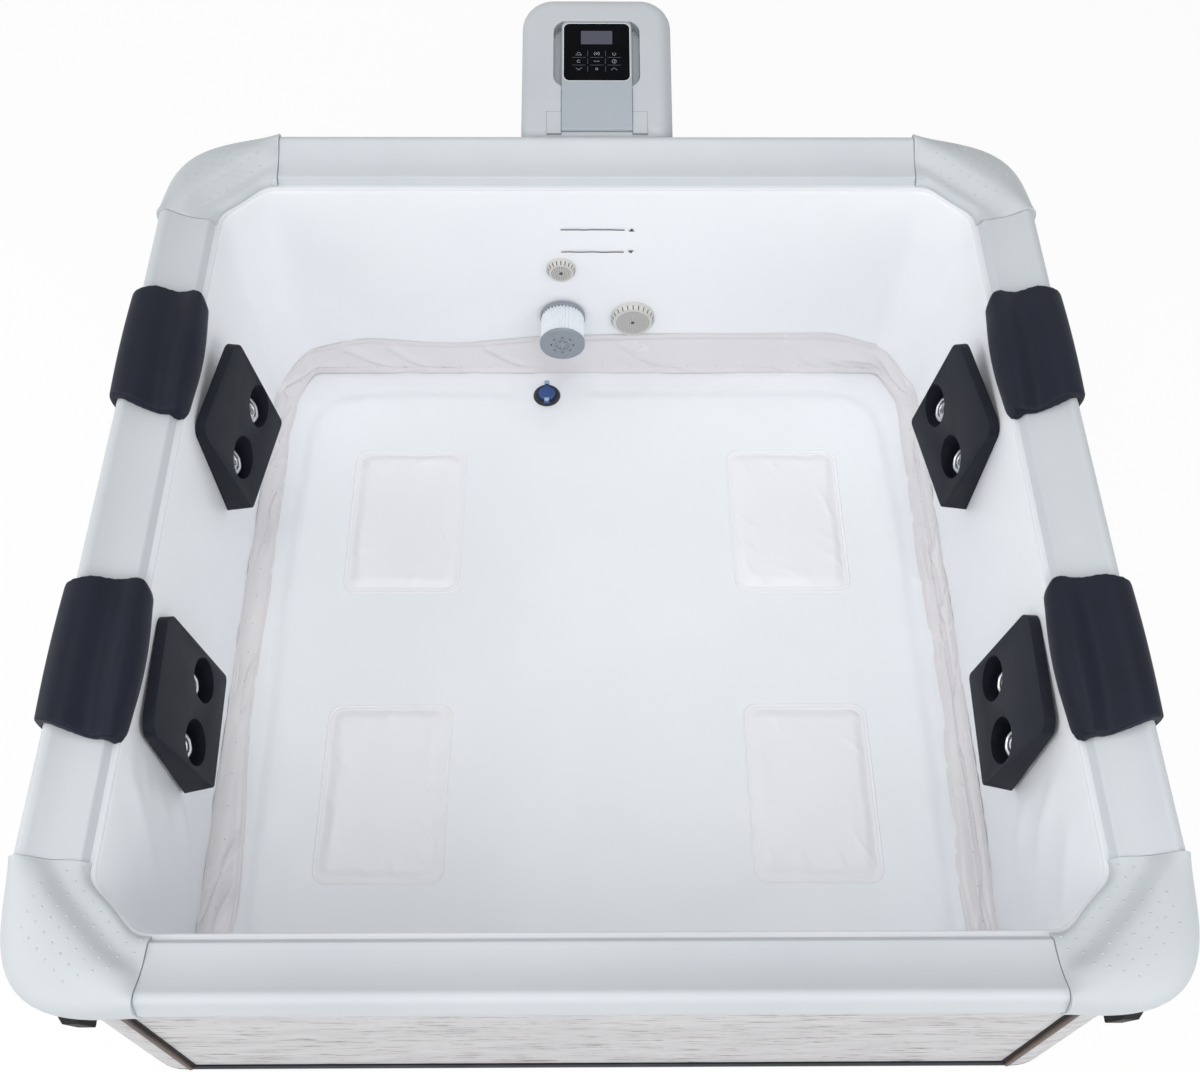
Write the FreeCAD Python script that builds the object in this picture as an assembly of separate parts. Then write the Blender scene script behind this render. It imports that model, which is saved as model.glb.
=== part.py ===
"""Square portable hot tub: rim, insulated walls, liner, massage fittings and control box.

Millimetres, +Z up. The origin is the centre of the tub on the ground and +Y points to the
control box. Every piece is written to parts/NODE.step.
"""
import math
import os

import FreeCAD
import Part

V = FreeCAD.Vector

# Overall sizes
RIM_SIZE = 1862.0        # over the rim, both ways
RIM_HEIGHT = 684.0       # crest of the rim above the ground
RIM_OVERHANG = 41.0      # rim beyond the outer face of the walls
RIM_RISE = 54.0          # crest of the rim above the top of the walls
RIM_LIP = 12.0           # how far the rim reaches down over the top of the walls
RIM_LEDGE = 9.5          # liner's hem seen inside the rim
RAIL_BEVEL = 10.0        # lean of a rail's inner face
CAP_ARM = 238.0          # length of a corner cap along each side
CAP_RADIUS = 142.0       # outer rounding of a corner cap
CAP_SAG = 4.0            # crest of a cap lower on the diagonal than at the seams
CAP_FALL = (             # share of the way from crest to edge, fall at a seam and on the diagonal
    (0.12, 0.3, 1.0), (0.50, 4.0, 10.0), (0.80, 13.0, 24.0), (0.97, 30.0, 42.0),
)
CAP_PROUD = 3.0          # how much a cap stands over the rails
CAP_LEG = 91.0           # leg of a cap's inner edge across the corner
CAP_BOW = 0.11           # crest of a cap bowed outwards on the diagonal
CAP_HOLLOW = ((0.42, 0.30), (0.32, 0.12))  # place and height below the crest, at a seam, on the diagonal
SEAM_GAP = 1.2           # open joint between rail and cap
TONGUE = (50.0, 10.0, 20.0)  # width, height and length of the tongue on a rail's end
CLIP_WIDTH = 26.0        # clips for the straps of a lid
CLIP_DROP = 98.0
CLIP_INSET = 36.0        # back of a clip from the edge of the rim
CLIP_FROM_CORNER = 95.0
CLIP_SLOT = (14.0, 6.0)

# Walls
WALL_THICK = 86.0        # from the inner face of a panel to the outer face of a corner post
WALL_RADIUS = 100.0      # outer rounding of the corner posts
PANEL_RECESS = 6.0       # panel face behind the face of the posts
TRIM_WIDTH = 9.0         # brown edge trim
TRIM_LAP = 6.0           # part of the trim that lies on the post
TRIM_PROUD = 3.0         # trim in front of the posts
SEAL_WIDTH = 6.0         # black seal beside the trim and hem at the bottom
SEAL_THICK = 2.0

# Liner and floor
LINER_THICK = 2.0
HEM_WIDTH = 28.0         # liner's hem over the walls, from its face
CORNER_LEG = 82.0        # leg of the chamfer across each inside corner
MAT_THICK = 8.0          # ground mat
SKIRT_BACK = (14.0, 126.0)  # cove skirt along the floor and up the wall, at the back
SKIRT_SIDE = (48.0, 52.0)   # and at the other sides
SKIRT_SHEET = 1.5
SEAT_SIZE = (272.0, 400.0)
SEAT_POS = (452.0, 340.0)
SEAT_RISE = 10.0
SEAT_RADIUS = 45.0

# Headrests and massage pads
HEAD_LENGTH = 330.0      # inner edge
HEAD_OUTER = 252.0       # outer edge
HEAD_FRONT = 340.0       # from the middle of the side to a front headrest
HEAD_BACK = 328.0        # and to a back one
HEAD_OVER = 10.0         # headrests inside the face of the liner
PAD_WIDTH = 236.0
PAD_HEIGHT = 306.0
PAD_BOTTOM = 264.0       # lower edge above the ground
PAD_TOP_THICK = 20.0
PAD_LOW_THICK = 60.0
PAD_SKEW = 26.0          # the lower face rises this much to the front edge
PAD_POS = 322.0
PAD_TURN_FRONT = 2.0     # degrees away from the wall
PAD_TURN_BACK = 9.0
PAD_HOLE = 88.0
WINDOW_TILT = 27.0       # degrees, windows of the pads rise to the bather
JET_SPACING = 128.0
JET_HEIGHT = 368.0
JET_FLANGE = 76.0
JET_FACE = 58.0          # turning nozzle
JET_STUB = 30.0
JET_PIPE = 32.0

# Fittings in the back wall: x, z
FILTER_AT = (-82.0, 222.0)
RETURN_AT = (-83.0, 386.0)
SUCTION_AT = (88.0, 216.0)
TUBE_OD = 50.0
TUBE_BORE = 42.0
FLANGE_OD = 60.0
FLANGE_THICK = 5.0
SPIGOT_OD = 38.0
SPIGOT_LENGTH = 8.0
NUT_OD = 58.0
FILTER_OD = 108.0
FILTER_LENGTH = 74.0     # pleats between the end caps
FILTER_PLEATS = 36
RETURN_OD = 67.0
SUCTION_OD = 105.0
DRAIN_X = -125.0
DRAIN_INSET = 85.0       # centre of the drain from the liner's face
DRAIN_OD = 68.0
DRAIN_CAP_OD = 42.0

# Control box
BOX_WIDTH = 340.0
BOX_DEPTH = 376.0
BOX_GAP = 11.0           # between the rim and the box
BOX_FRONT_TOP = 650.0    # height of the front edge
BOX_SLOPE = 14.0         # degrees, rising to the back
BOX_WALL = 4.0
BOX_SPLIT = 560.0        # joint between base and cover
BOX_FAR_RADIUS = 72.0
BOX_BROW = 42.0          # rounding of the front edge
BOX_EDGE = 30.0          # rounding of the other edges
PIPE_INSET = 41.0        # jet pipes from the sides of the box
ARM_WIDTH = 158.0
ARM_THICK = 16.0
ARM_PROUD = 3.0
ARM_END = 306.0          # far end of the arm along the slope
HINGE_AT = 26.0          # pin along the slope
PIN_OD = 6.0
HINGE_COVER = (32.0, 56.0, 17.0)
DISPLAY = (150.0, 153.0, 3.0)
RECESS_WIDTH = 196.0
RECESS_START = 134.0
RECESS_DEPTH = 30.0
FILTER_PUMP = (124.0, 96.0, 150.0)   # volute, motor, length of the motor
MASSAGE_PUMP = (140.0, 120.0, 180.0)
BOARD = (180.0, 150.0, 2.0)  # control board, standing at the back of the box
BOARD_STAND = 40.0       # board in front of the back wall
BOARD_DROP = 185.0       # foot of the board below the joint of the box
BOARD_TALL = 36.0        # tallest component on the board
BOARD_POST = 8.0
POST_INSET = 12.0        # posts of the board from its edges
HEATER_OD = 76.0
HEATER_GAP = 5.0         # between the heater and the board

# Clearances
FIT = 0.3                # round soft and loose pieces
RUN = 0.05               # radial, pins and turning pieces
ARM_GAP = 1.2            # round the arm in its channel

# Positions that follow from the sizes
RIM_OUT = RIM_SIZE / 2
RAIL_OUT = RIM_OUT - CAP_PROUD
WALL_OUT = RIM_OUT - RIM_OVERHANG
WALL_IN = WALL_OUT - WALL_THICK
PANEL_OUT = WALL_OUT - PANEL_RECESS
PANEL_HALF = WALL_OUT - WALL_RADIUS - TRIM_LAP - 6.0
LINER_OUT = WALL_IN - FIT
INNER = LINER_OUT - LINER_THICK
WALL_TOP = RIM_HEIGHT - RIM_RISE
LIP_Z = WALL_TOP - RIM_LIP
RAIL_IN = INNER + RIM_LEDGE
HEAD_IN = INNER - HEAD_OVER
HEM_TOP = WALL_TOP + FIT + LINER_THICK
BOX_FRONT = RIM_OUT + BOX_GAP
DRAIN_AT = (DRAIN_X, INNER - DRAIN_INSET)
SEAM = RIM_OUT - CAP_ARM
FLOOR_LOW = MAT_THICK + FIT
FLOOR_TOP = FLOOR_LOW + LINER_THICK
JET_PIPE_D = (WALL_IN + PANEL_OUT) / 2
JET_PIPE_X = BOX_WIDTH / 2 - PIPE_INSET
TUBE_END = BOX_FRONT + 40.0
HINGE_W = ARM_PROUD - ARM_THICK / 2


def box(x0, y0, z0, x1, y1, z1):
    return Part.makeBox(x1 - x0, y1 - y0, z1 - z0, V(x0, y0, z0))


def rod(diameter, length, at, axis):
    return Part.makeCylinder(diameter / 2, length, V(*at), V(*axis))


def ring(outer, bore, length, at, axis):
    return rod(outer, length, at, axis).cut(rod(bore, length, at, axis))


def rounded(points, radii, place):
    """Closed wire through points, each corner rounded; place turns a point into a vector."""
    edges = []
    count = len(points)
    ends = []
    for i, (px, py) in enumerate(points):
        ax, ay = points[i - 1][0] - px, points[i - 1][1] - py
        bx, by = points[(i + 1) % count][0] - px, points[(i + 1) % count][1] - py
        la, lb = math.hypot(ax, ay), math.hypot(bx, by)
        ax, ay, bx, by = ax / la, ay / la, bx / lb, by / lb
        half = math.acos(max(-1.0, min(1.0, ax * bx + ay * by))) / 2
        radius = radii[i]
        back = radius / math.tan(half)
        mx, my = ax + bx, ay + by
        lm = math.hypot(mx, my) or 1.0
        reach = radius / math.sin(half) - radius
        middle = (px + mx / lm * reach, py + my / lm * reach)
        ends.append(((px + ax * back, py + ay * back), middle, (px + bx * back, py + by * back)))
    for i in range(count):
        first, middle, last = ends[i]
        following = ends[(i + 1) % count][0]
        if radii[i] > 0:
            edges.append(Part.Arc(place(*first), place(*middle), place(*last)).toShape())
        if math.dist(last, following) > 1e-6:
            edges.append(Part.makeLine(place(*last), place(*following)))
    return Part.Wire(edges)


def grown(points, amount):
    """Polygon, counter-clockwise, with every edge moved outwards by amount."""
    lines = []
    count = len(points)
    for i in range(count):
        x0, y0 = points[i]
        x1, y1 = points[(i + 1) % count]
        length = math.hypot(x1 - x0, y1 - y0)
        nx, ny = (y1 - y0) / length, (x0 - x1) / length
        lines.append((nx, ny, nx * x0 + ny * y0 + amount))
    out = []
    for i in range(count):
        a, b = lines[i - 1], lines[i]
        det = a[0] * b[1] - a[1] * b[0]
        out.append(((a[2] * b[1] - b[2] * a[1]) / det, (a[0] * b[2] - b[0] * a[2]) / det))
    return out


def flat(z):
    return lambda x, y: V(x, y, z)


def prism(wire, vector):
    return Part.Face(wire).extrude(vector)


def plate(points, radii, z0, z1):
    """Flat piece with rounded corners between two heights."""
    return prism(rounded(points, radii, flat(z0)), V(0, 0, z1 - z0))


def rectangle(x0, y0, x1, y1):
    return [(x0, y0), (x1, y0), (x1, y1), (x0, y1)]


def turned(shape, degrees):
    """Copy of a piece turned round the tub's middle."""
    copy = shape.copy()
    copy.rotate(V(0, 0, 0), V(0, 0, 1), degrees)
    return copy


def mirrored(shape):
    return shape.mirror(V(0, 0, 0), V(1, 0, 0))


def joined(shapes):
    return shapes[0].multiFuse(shapes[1:]).removeSplitter()


def corner_sum(half):
    """x + y along the inside corner's chamfer, for an octagon that wide."""
    return 2 * INNER - CORNER_LEG + (half - INNER) * math.sqrt(2)


def octagon(half):
    other = corner_sum(half) - half
    points = [(half, -other), (half, other), (other, half), (-other, half)]
    return points + [(-x, -y) for x, y in points]


def octagon_wire(half, z):
    points = [V(x, y, z) for x, y in octagon(half)]
    return Part.makePolygon(points + [points[0]])


def octagon_block(half, z0, z1):
    return prism(octagon_wire(half, z0), V(0, 0, z1 - z0))


def square_block(half, radius, z0, z1):
    return plate(rectangle(-half, -half, half, half), [radius] * 4, z0, z1)


PARTS = {}


def keep(node, *shapes):
    PARTS[node] = shapes[0] if len(shapes) == 1 else Part.makeCompound(list(shapes))


SIDES = (("back", 0), ("left", 90), ("front", 180), ("right", 270))
CORNERS = (("back_right", 0), ("back_left", 90), ("front_left", 180), ("front_right", 270))


# The rim: extruded rails between moulded corner caps

RAIL_POINTS = [
    (RAIL_IN - 0.63 * RAIL_BEVEL, LIP_Z),
    (RAIL_OUT - 4.0, LIP_Z),
    (RAIL_OUT + 0.6, RIM_HEIGHT - 40.0),
    (RAIL_OUT - 13.0, RIM_HEIGHT - CAP_PROUD + 5.2),
    (RAIL_IN + 54.0, WALL_TOP + 25.0),
    (RAIL_IN + RAIL_BEVEL, WALL_TOP + 19.0),
]
RAIL_RADII = [2.0, 2.0, 25.0, 14.0, 150.0, 5.0]
RAIL_CREST = RAIL_OUT - 16.0

wall_slot = square_block(WALL_OUT + FIT, WALL_RADIUS + FIT, 0.0, WALL_TOP).fuse(
    octagon_block(INNER + HEM_WIDTH + FIT, 0.0, HEM_TOP + FIT)
)


def rail_bar(half_length, grow):
    """Rail's section drawn across +Y and extruded along X, with the section grown evenly."""
    wire = rounded(
        grown(RAIL_POINTS, grow) if grow else RAIL_POINTS,
        [r + grow for r in RAIL_RADII],
        lambda d, z: V(-half_length, d, z),
    )
    return prism(wire, V(2 * half_length, 0, 0))


def tongue(extra):
    """Tongue past the end of a rail at +X, or its socket in a cap."""
    width, height, length = TONGUE
    middle = (RAIL_IN + RAIL_OUT) / 2
    low = WALL_TOP + 6.0
    return box(
        SEAM - 10.0, middle - width / 2 - extra, low - extra,
        SEAM + length + extra, middle + width / 2 + extra, low + height + extra,
    )


rail = rail_bar(SEAM, 0.0).cut(wall_slot)
rail = joined([rail, tongue(0.0), mirrored(tongue(0.0))])


def cap_section(degrees):
    """Upright section of a corner cap, in a fan round the cap's inner pivot."""
    c, s = math.cos(math.radians(degrees)), math.sin(math.radians(degrees))
    pivot = SEAM + SEAM_GAP
    steep, both = max(c, s), c + s
    cap_in = RAIL_IN - CAP_PROUD
    r_in = min((cap_in - pivot) / steep, (2 * cap_in - CAP_LEG - 2 * pivot) / both)
    diagonal = 2 * c * s
    r_crest = (RAIL_CREST - pivot) / both * (1 + CAP_BOW * diagonal)
    centre = RIM_OUT - CAP_RADIUS - pivot
    if min(c, s) / steep < centre / (RIM_OUT - pivot):
        r_out = (RIM_OUT - pivot) / steep
    else:
        r_out = centre * both + math.sqrt(CAP_RADIUS ** 2 - (centre * (c - s)) ** 2)
    z_in = WALL_TOP + 17.0
    top = RIM_HEIGHT - CAP_SAG * diagonal
    span = r_out - r_crest
    at_share, at_height = (a + diagonal * (b - a) for a, b in zip(*CAP_HOLLOW))
    hollow = r_in + 7.0 + at_share * (r_crest - r_in)
    outline = [
        (r_in, z_in - 9.0),
        (r_in + 7.0, z_in + 1.0),
        (hollow, z_in + at_height * (top - z_in)),
        (r_crest - 14.0, top - 5.0),
    ]
    for share, at_seam, at_corner in CAP_FALL:
        outline.append((r_crest + share * span, top - at_seam - diagonal * (at_corner - at_seam)))
    outline.append((r_out - 4.0, LIP_Z))

    def place(r, z):
        return V(pivot + r * c, pivot + r * s, z)

    crown = Part.BSplineCurve()
    crown.interpolate([place(r, z) for r, z in outline])
    low_in, low_out = place(r_in, LIP_Z), place(r_out - 4.0, LIP_Z)
    return Part.Wire([
        Part.makeLine(low_out, low_in),
        Part.makeLine(low_in, place(*outline[0])),
        crown.toShape(),
    ])


cap = Part.makeLoft([cap_section(a) for a in (0, 15, 45, 75, 90)], True, False)
cap = cap.cut(wall_slot)
socket = tongue(FIT)
socket_across = turned(mirrored(socket), -90)
cap = cap.cut(socket).cut(socket_across)

for name, angle in SIDES:
    keep("rim_rail_" + name, turned(rail, angle))
for name, angle in CORNERS:
    keep("rim_corner_" + name, turned(cap, angle))

# Clips for the straps of a lid, under the lips of the caps
clip_back = RIM_OUT - CLIP_INSET
clip_side = [(0.0, 0.0), (28.0, 0.0), (34.0, -24.0), (24.0, -CLIP_DROP), (12.0, -CLIP_DROP), (0.0, -46.0)]
clip_wire = rounded(clip_side, [0.0, 3.0, 3.0, 4.0, 2.0, 3.0],
                    lambda n, z: V(WALL_OUT - CLIP_FROM_CORNER, clip_back + n, LIP_Z + z))
slot_x = WALL_OUT - CLIP_FROM_CORNER + (CLIP_WIDTH - CLIP_SLOT[0]) / 2
slot_z = LIP_Z - CLIP_DROP + 4.0
clip = prism(clip_wire, V(CLIP_WIDTH, 0, 0))
clip = clip.cut(box(slot_x, clip_back - 4.0, slot_z,
                    slot_x + CLIP_SLOT[0], clip_back + 46.0, slot_z + CLIP_SLOT[1]))
keep("cover_clips", clip, mirrored(clip), turned(clip, 180), turned(mirrored(clip), 180))

# Headrest: a saddle over the rail, fuller in the middle, trimmed to a flared plan
head_full = [
    (HEAD_IN - 5.0, LIP_Z + 5.0), (HEAD_IN - 8.0, WALL_TOP + 22.0), (HEAD_IN + 6.0, WALL_TOP + 47.0),
    (HEAD_IN + 54.0, WALL_TOP + 55.0), (HEAD_IN + 96.0, WALL_TOP + 73.0),
    (RAIL_OUT + 2.0, WALL_TOP + 61.0), (RAIL_OUT + 9.0, WALL_TOP + 30.0),
    (RAIL_OUT + 5.0, WALL_TOP + 8.0),
]
head_slim = [
    (HEAD_IN - 3.0, LIP_Z + 12.0), (HEAD_IN - 4.5, WALL_TOP + 14.0), (HEAD_IN + 8.0, WALL_TOP + 29.0),
    (HEAD_IN + 54.0, WALL_TOP + 42.0), (HEAD_IN + 96.0, WALL_TOP + 68.0),
    (RAIL_OUT + 0.0, WALL_TOP + 56.0), (RAIL_OUT + 5.5, WALL_TOP + 28.0),
    (RAIL_OUT + 3.5, WALL_TOP + 10.0),
]


def head_section(x):
    share = abs(2 * x / HEAD_LENGTH) ** 1.6
    points = [
        V(x, a[0] + share * (b[0] - a[0]), a[1] + share * (b[1] - a[1]))
        for a, b in zip(head_full, head_slim)
    ]
    crown = Part.BSplineCurve()
    crown.interpolate(points)
    return Part.Wire([crown.toShape(), Part.makeLine(points[-1], points[0])])


head_half = HEAD_LENGTH / 2
head = Part.makeLoft([head_section(head_half * k) for k in (-1, 0, 1)], True, False)
flare = [
    (-head_half, HEAD_IN - 12.0), (head_half, HEAD_IN - 12.0),
    (HEAD_OUTER / 2, RAIL_OUT + 12.0), (-HEAD_OUTER / 2, RAIL_OUT + 12.0),
]
head = head.common(plate(flare, [56.0, 56.0, 14.0, 14.0], LIP_Z - 10.0, RIM_HEIGHT + 60.0))
head = head.cut(rail_bar(head_half + 20.0, FIT + 0.1))
head = head.cut(box(-head_half, INNER - FIT, 0.0, head_half, RAIL_OUT - 20.0, HEM_TOP + FIT))
for name, angle, along in (
    ("front_left", 90, -HEAD_FRONT), ("back_left", 90, HEAD_BACK),
    ("front_right", 270, -HEAD_FRONT), ("back_right", 270, HEAD_BACK),
):
    piece = turned(head, angle)
    piece.translate(V(0, along, 0))
    keep("headrest_" + name, piece)


# Walls: a panel on each side, rounded posts at the corners, trims and seals over the joints

def jet_line(side, bore):
    """Pipe that feeds the jets of one side: side wall, round the corner, out to the box."""
    d, z = JET_PIPE_D, JET_HEIGHT
    bend = 40.0
    front = -(PAD_POS + JET_SPACING / 2) - 25.0
    quarter = Part.makeTorus(bend, bore / 2, V(0, 0, 0), V(0, 0, 1), 0, 360, 90)
    corner, outlet = quarter.copy(), turned(quarter, 180)
    corner.translate(V(d - bend, d - bend, z))
    outlet.translate(V(JET_PIPE_X + bend, d + bend, z))
    solid = joined([
        rod(bore, d - bend - front, (d, front, z), (0, 1, 0)),
        corner,
        rod(bore, d - 2 * bend - JET_PIPE_X, (JET_PIPE_X + bend, d, z), (1, 0, 0)),
        outlet,
        rod(bore, TUBE_END - d - bend, (JET_PIPE_X, d + bend, z), (0, 1, 0)),
    ])
    return solid if side > 0 else mirrored(solid)


jet_channels = [jet_line(side, JET_PIPE + 2.0) for side in (1, -1)]
pipes = [jet_line(side, JET_PIPE).cut(jet_line(side, JET_PIPE - 6.0)) for side in (1, -1)]
keep("jet_pipes", *pipes)

jet_rows = sorted(
    along * PAD_POS + step * JET_SPACING / 2 for along in (-1, 1) for step in (-1, 1)
)
TAIL_OD = 48.0
tail_end = JET_PIPE_D - JET_PIPE / 2 - 0.5
fitting_places = (FILTER_AT, RETURN_AT, SUCTION_AT)

panel = box(-PANEL_HALF, WALL_IN, MAT_THICK, PANEL_HALF, PANEL_OUT, WALL_TOP)
for name, angle in SIDES:
    piece = turned(panel, angle)
    cuts = []
    if name == "back":
        cuts = [
            rod(TUBE_OD + 1.0, WALL_THICK + 20.0, (x, WALL_IN - 10.0, z), (0, 1, 0))
            for x, z in fitting_places
        ] + jet_channels
    if name in ("left", "right"):
        side = 1 if name == "right" else -1
        cuts = [
            rod(TAIL_OD + 1.0, tail_end - WALL_IN + 12.0, (side * (WALL_IN - 10.0), y, JET_HEIGHT),
                (side, 0, 0))
            for y in jet_rows
        ] + [jet_channels[0 if side > 0 else 1]]
    for cut in cuts:
        piece = piece.cut(cut)
    keep("wall_panel_" + name, piece)

chamfer_end = corner_sum(WALL_IN) - WALL_IN
trim_end = PANEL_HALF + TRIM_LAP
post_points = [
    (chamfer_end, WALL_IN), (WALL_IN, chamfer_end), (WALL_IN, PANEL_HALF), (PANEL_OUT, PANEL_HALF),
    (PANEL_OUT, trim_end), (WALL_OUT, trim_end), (WALL_OUT, WALL_OUT), (trim_end, WALL_OUT),
    (trim_end, PANEL_OUT), (PANEL_HALF, PANEL_OUT), (PANEL_HALF, WALL_IN),
]
post_radii = [0.0] * 6 + [WALL_RADIUS] + [0.0] * 4
post = plate(post_points, post_radii, MAT_THICK, WALL_TOP)
for name, angle in CORNERS:
    piece = turned(post, angle)
    if name.startswith("back"):
        piece = piece.cut(jet_channels[0 if name.endswith("right") else 1])
    keep("corner_post_" + name, piece)

trim_start = trim_end - TRIM_WIDTH
trim_top = LIP_Z - 1.0
trim = plate(rectangle(trim_start, PANEL_OUT, trim_end, WALL_OUT + TRIM_PROUD), [0, 0, 3, 3],
             MAT_THICK, trim_top)
seal = box(trim_start - SEAL_WIDTH, PANEL_OUT, MAT_THICK, trim_start, PANEL_OUT + SEAL_THICK, trim_top)
hem_half = trim_start - SEAL_WIDTH
hem = box(-hem_half, PANEL_OUT, MAT_THICK, hem_half, PANEL_OUT + SEAL_THICK, MAT_THICK + SEAL_WIDTH)
trims, seals = [], []
for name, angle in SIDES:
    trims += [turned(trim, angle), turned(mirrored(trim), angle)]
    seals += [turned(s, angle) for s in (seal, mirrored(seal), hem)]
keep("edge_trims", *trims)
keep("edge_seals", *seals)

# Liner, cove skirt, floor with its raised seats, ground mat
mat = square_block(WALL_OUT, WALL_RADIUS, 0.0, MAT_THICK)
drain_hole = rod(DRAIN_CAP_OD + 12.0, 60.0, (DRAIN_AT[0], DRAIN_AT[1], -10.0), (0, 0, 1))
keep("base_mat", mat.cut(drain_hole))
keep("liner_floor", octagon_block(LINER_OUT, FLOOR_LOW, FLOOR_TOP).cut(drain_hole))

liner_hem = octagon_block(INNER + HEM_WIDTH, WALL_TOP + FIT, HEM_TOP)
liner = joined([octagon_block(LINER_OUT, FLOOR_TOP + FIT, HEM_TOP), liner_hem])
liner = liner.cut(octagon_block(INNER, FLOOR_TOP, HEM_TOP + 1.0))
liner_holes = [
    rod(TUBE_OD + 1.0, 40.0, (x, INNER - 20.0, z), (0, 1, 0)) for x, z in fitting_places
]
for side in (-1, 1):
    liner_holes += [
        rod(TAIL_OD + 1.0, 40.0, (side * (INNER - 20.0), y, JET_HEIGHT), (side, 0, 0))
        for y in jet_rows
    ]
for hole in liner_holes:
    liner = liner.cut(hole)
keep("liner_wall", liner)


def skirt_section(k):
    """Section of the skirt in the mitre at corner k: down the inner face and up the outer one."""
    x, y = octagon(INNER)[k]
    foot, height = SKIRT_BACK if y > INNER - 1.0 else SKIRT_SIDE
    low = FLOOR_TOP + FIT
    steps = [(height, SKIRT_SHEET), (0.32 * height, 0.16 * foot + SKIRT_SHEET),
             (0.09 * height, 0.47 * foot + SKIRT_SHEET), (0.0, foot)]
    inner = [V(*octagon(INNER - FIT - inset)[k], low + z) for z, inset in steps]
    outer = [V(*octagon(INNER - FIT - inset + SKIRT_SHEET)[k], low + z) for z, inset in steps]
    return Part.makePolygon(inner + outer[::-1] + inner[:1])


strips = [
    Part.makeLoft([skirt_section(k), skirt_section((k + 1) % 8)], True, True) for k in range(8)
]
keep("liner_skirt", *strips)

seat = plate(rectangle(-SEAT_SIZE[0] / 2, -SEAT_SIZE[1] / 2, SEAT_SIZE[0] / 2, SEAT_SIZE[1] / 2),
             [SEAT_RADIUS] * 4, FLOOR_TOP + FIT, FLOOR_TOP + FIT + SEAT_RISE)
seat_top = [e for e in seat.Edges if e.BoundBox.ZMin > FLOOR_TOP + SEAT_RISE - 1.0]
seat = seat.makeFillet(0.8 * SEAT_RISE, seat_top)
seats = []
for x in (-SEAT_POS[0], SEAT_POS[0]):
    for y in (-SEAT_POS[1], SEAT_POS[1]):
        copy = seat.copy()
        copy.translate(V(x, y, 0))
        seats.append(copy)
keep("seat_pads", *seats)


# Massage pads: leaning foam wedges with two windows over the jets

def massage_pad(turn):
    """Pad on the wall at -X, middle at y = 0; its outer edge stands off the wall by turn."""
    half = PAD_WIDTH / 2
    side = [(0.0, 0.0), (PAD_LOW_THICK, PAD_SKEW), (PAD_TOP_THICK, PAD_HEIGHT), (0.0, PAD_HEIGHT)]
    wedge = prism(rounded(side, [2.0, 8.0, 8.0, 3.0], lambda n, z: V(n, -half, z)),
                  V(0, PAD_WIDTH, 0))
    outline = rounded(rectangle(-half, -1.0, half, PAD_HEIGHT), [12.0, 12.0, 26.0, 26.0],
                      lambda y, z: V(-5.0, y, z))
    pad = wedge.common(prism(outline, V(PAD_LOW_THICK + 20.0, 0, 0)))
    pad.rotate(V(0, -half, 0), V(0, 0, 1), -turn)
    pad.translate(V(-INNER + FIT, 0, PAD_BOTTOM))
    tilt = math.radians(WINDOW_TILT)
    back = 60.0
    for step in (-1, 1):
        window = rod(PAD_HOLE, PAD_LOW_THICK + 160.0,
                     (-INNER - back, step * JET_SPACING / 2, JET_HEIGHT - back * math.tan(tilt)),
                     (math.cos(tilt), 0, math.sin(tilt)))
        pad = pad.cut(window)
    return pad


for row, turn, along in (("front", PAD_TURN_FRONT, -1), ("back", PAD_TURN_BACK, 1)):
    pad = massage_pad(turn)
    if along < 0:
        pad = pad.mirror(V(0, 0, 0), V(0, 1, 0))
    pad.translate(V(0, along * PAD_POS, 0))
    keep("massage_pad_" + row + "_left", pad)
    keep("massage_pad_" + row + "_right", mirrored(pad))

# Jets: a flanged body through the liner, and a turning nozzle with ribs in its face
flange_back = FIT
flange_front = FIT + 9.0
jet_body = joined([
    rod(JET_FLANGE, flange_front - flange_back, (flange_back, 0, 0), (1, 0, 0)),
    rod(TAIL_OD, tail_end - INNER + flange_back + 1.0, (flange_back + 1.0, 0, 0), (-1, 0, 0)),
])
jet_body = jet_body.cut(rod(JET_FACE + 2 * RUN, 20.0, (flange_front - 6.0, 0, 0), (1, 0, 0)))
jet_body = jet_body.cut(rod(JET_STUB + 2 * RUN, 80.0, (-60.0, 0, 0), (1, 0, 0)))
lead = Part.makeCone(JET_FLANGE / 2 + 1.0, JET_FLANGE / 2 - 6.0, 7.0,
                     V(flange_front - 4.0, 0, 0), V(1, 0, 0))
jet_body = jet_body.common(joined([
    lead, rod(JET_FLANGE + 2.0, 70.0 + flange_front - 4.0, (-70.0, 0, 0), (1, 0, 0)),
]))

nozzle_back = flange_front - 6.0 + FIT
nozzle = joined([
    rod(JET_FACE, 7.0, (nozzle_back, 0, 0), (1, 0, 0)),
    rod(JET_STUB, 14.0, (nozzle_back + 1.0, 0, 0), (-1, 0, 0)),
])
nozzle = nozzle.cut(ring(JET_FACE - 8.0, 22.0, 4.0, (nozzle_back + 4.0, 0, 0), (1, 0, 0)))
ribs = []
for k in range(6):
    rib = box(nozzle_back + 3.5, -1.6, 10.5, nozzle_back + 6.4, 1.6, JET_FACE / 2 - 3.0)
    rib.rotate(V(0, 0, 0), V(1, 0, 0), 60.0 * k)
    ribs.append(rib)
nozzle = joined([nozzle] + ribs)
nozzle = nozzle.cut(rod(11.0, 60.0, (-30.0, 0, 0), (1, 0, 0)))

bodies = []
for side, label in ((-1, "left"), (1, "right")):
    for k, y in enumerate(jet_rows):
        body, face_piece = jet_body.copy(), nozzle.copy()
        for piece in (body, face_piece):
            piece.translate(V(-INNER, y, JET_HEIGHT))
        if side > 0:
            body, face_piece = mirrored(body), mirrored(face_piece)
        bodies.append(body)
        keep("jet_nozzle_%s_%d" % (label, k + 1), face_piece)
keep("jet_bodies", *bodies)

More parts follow.
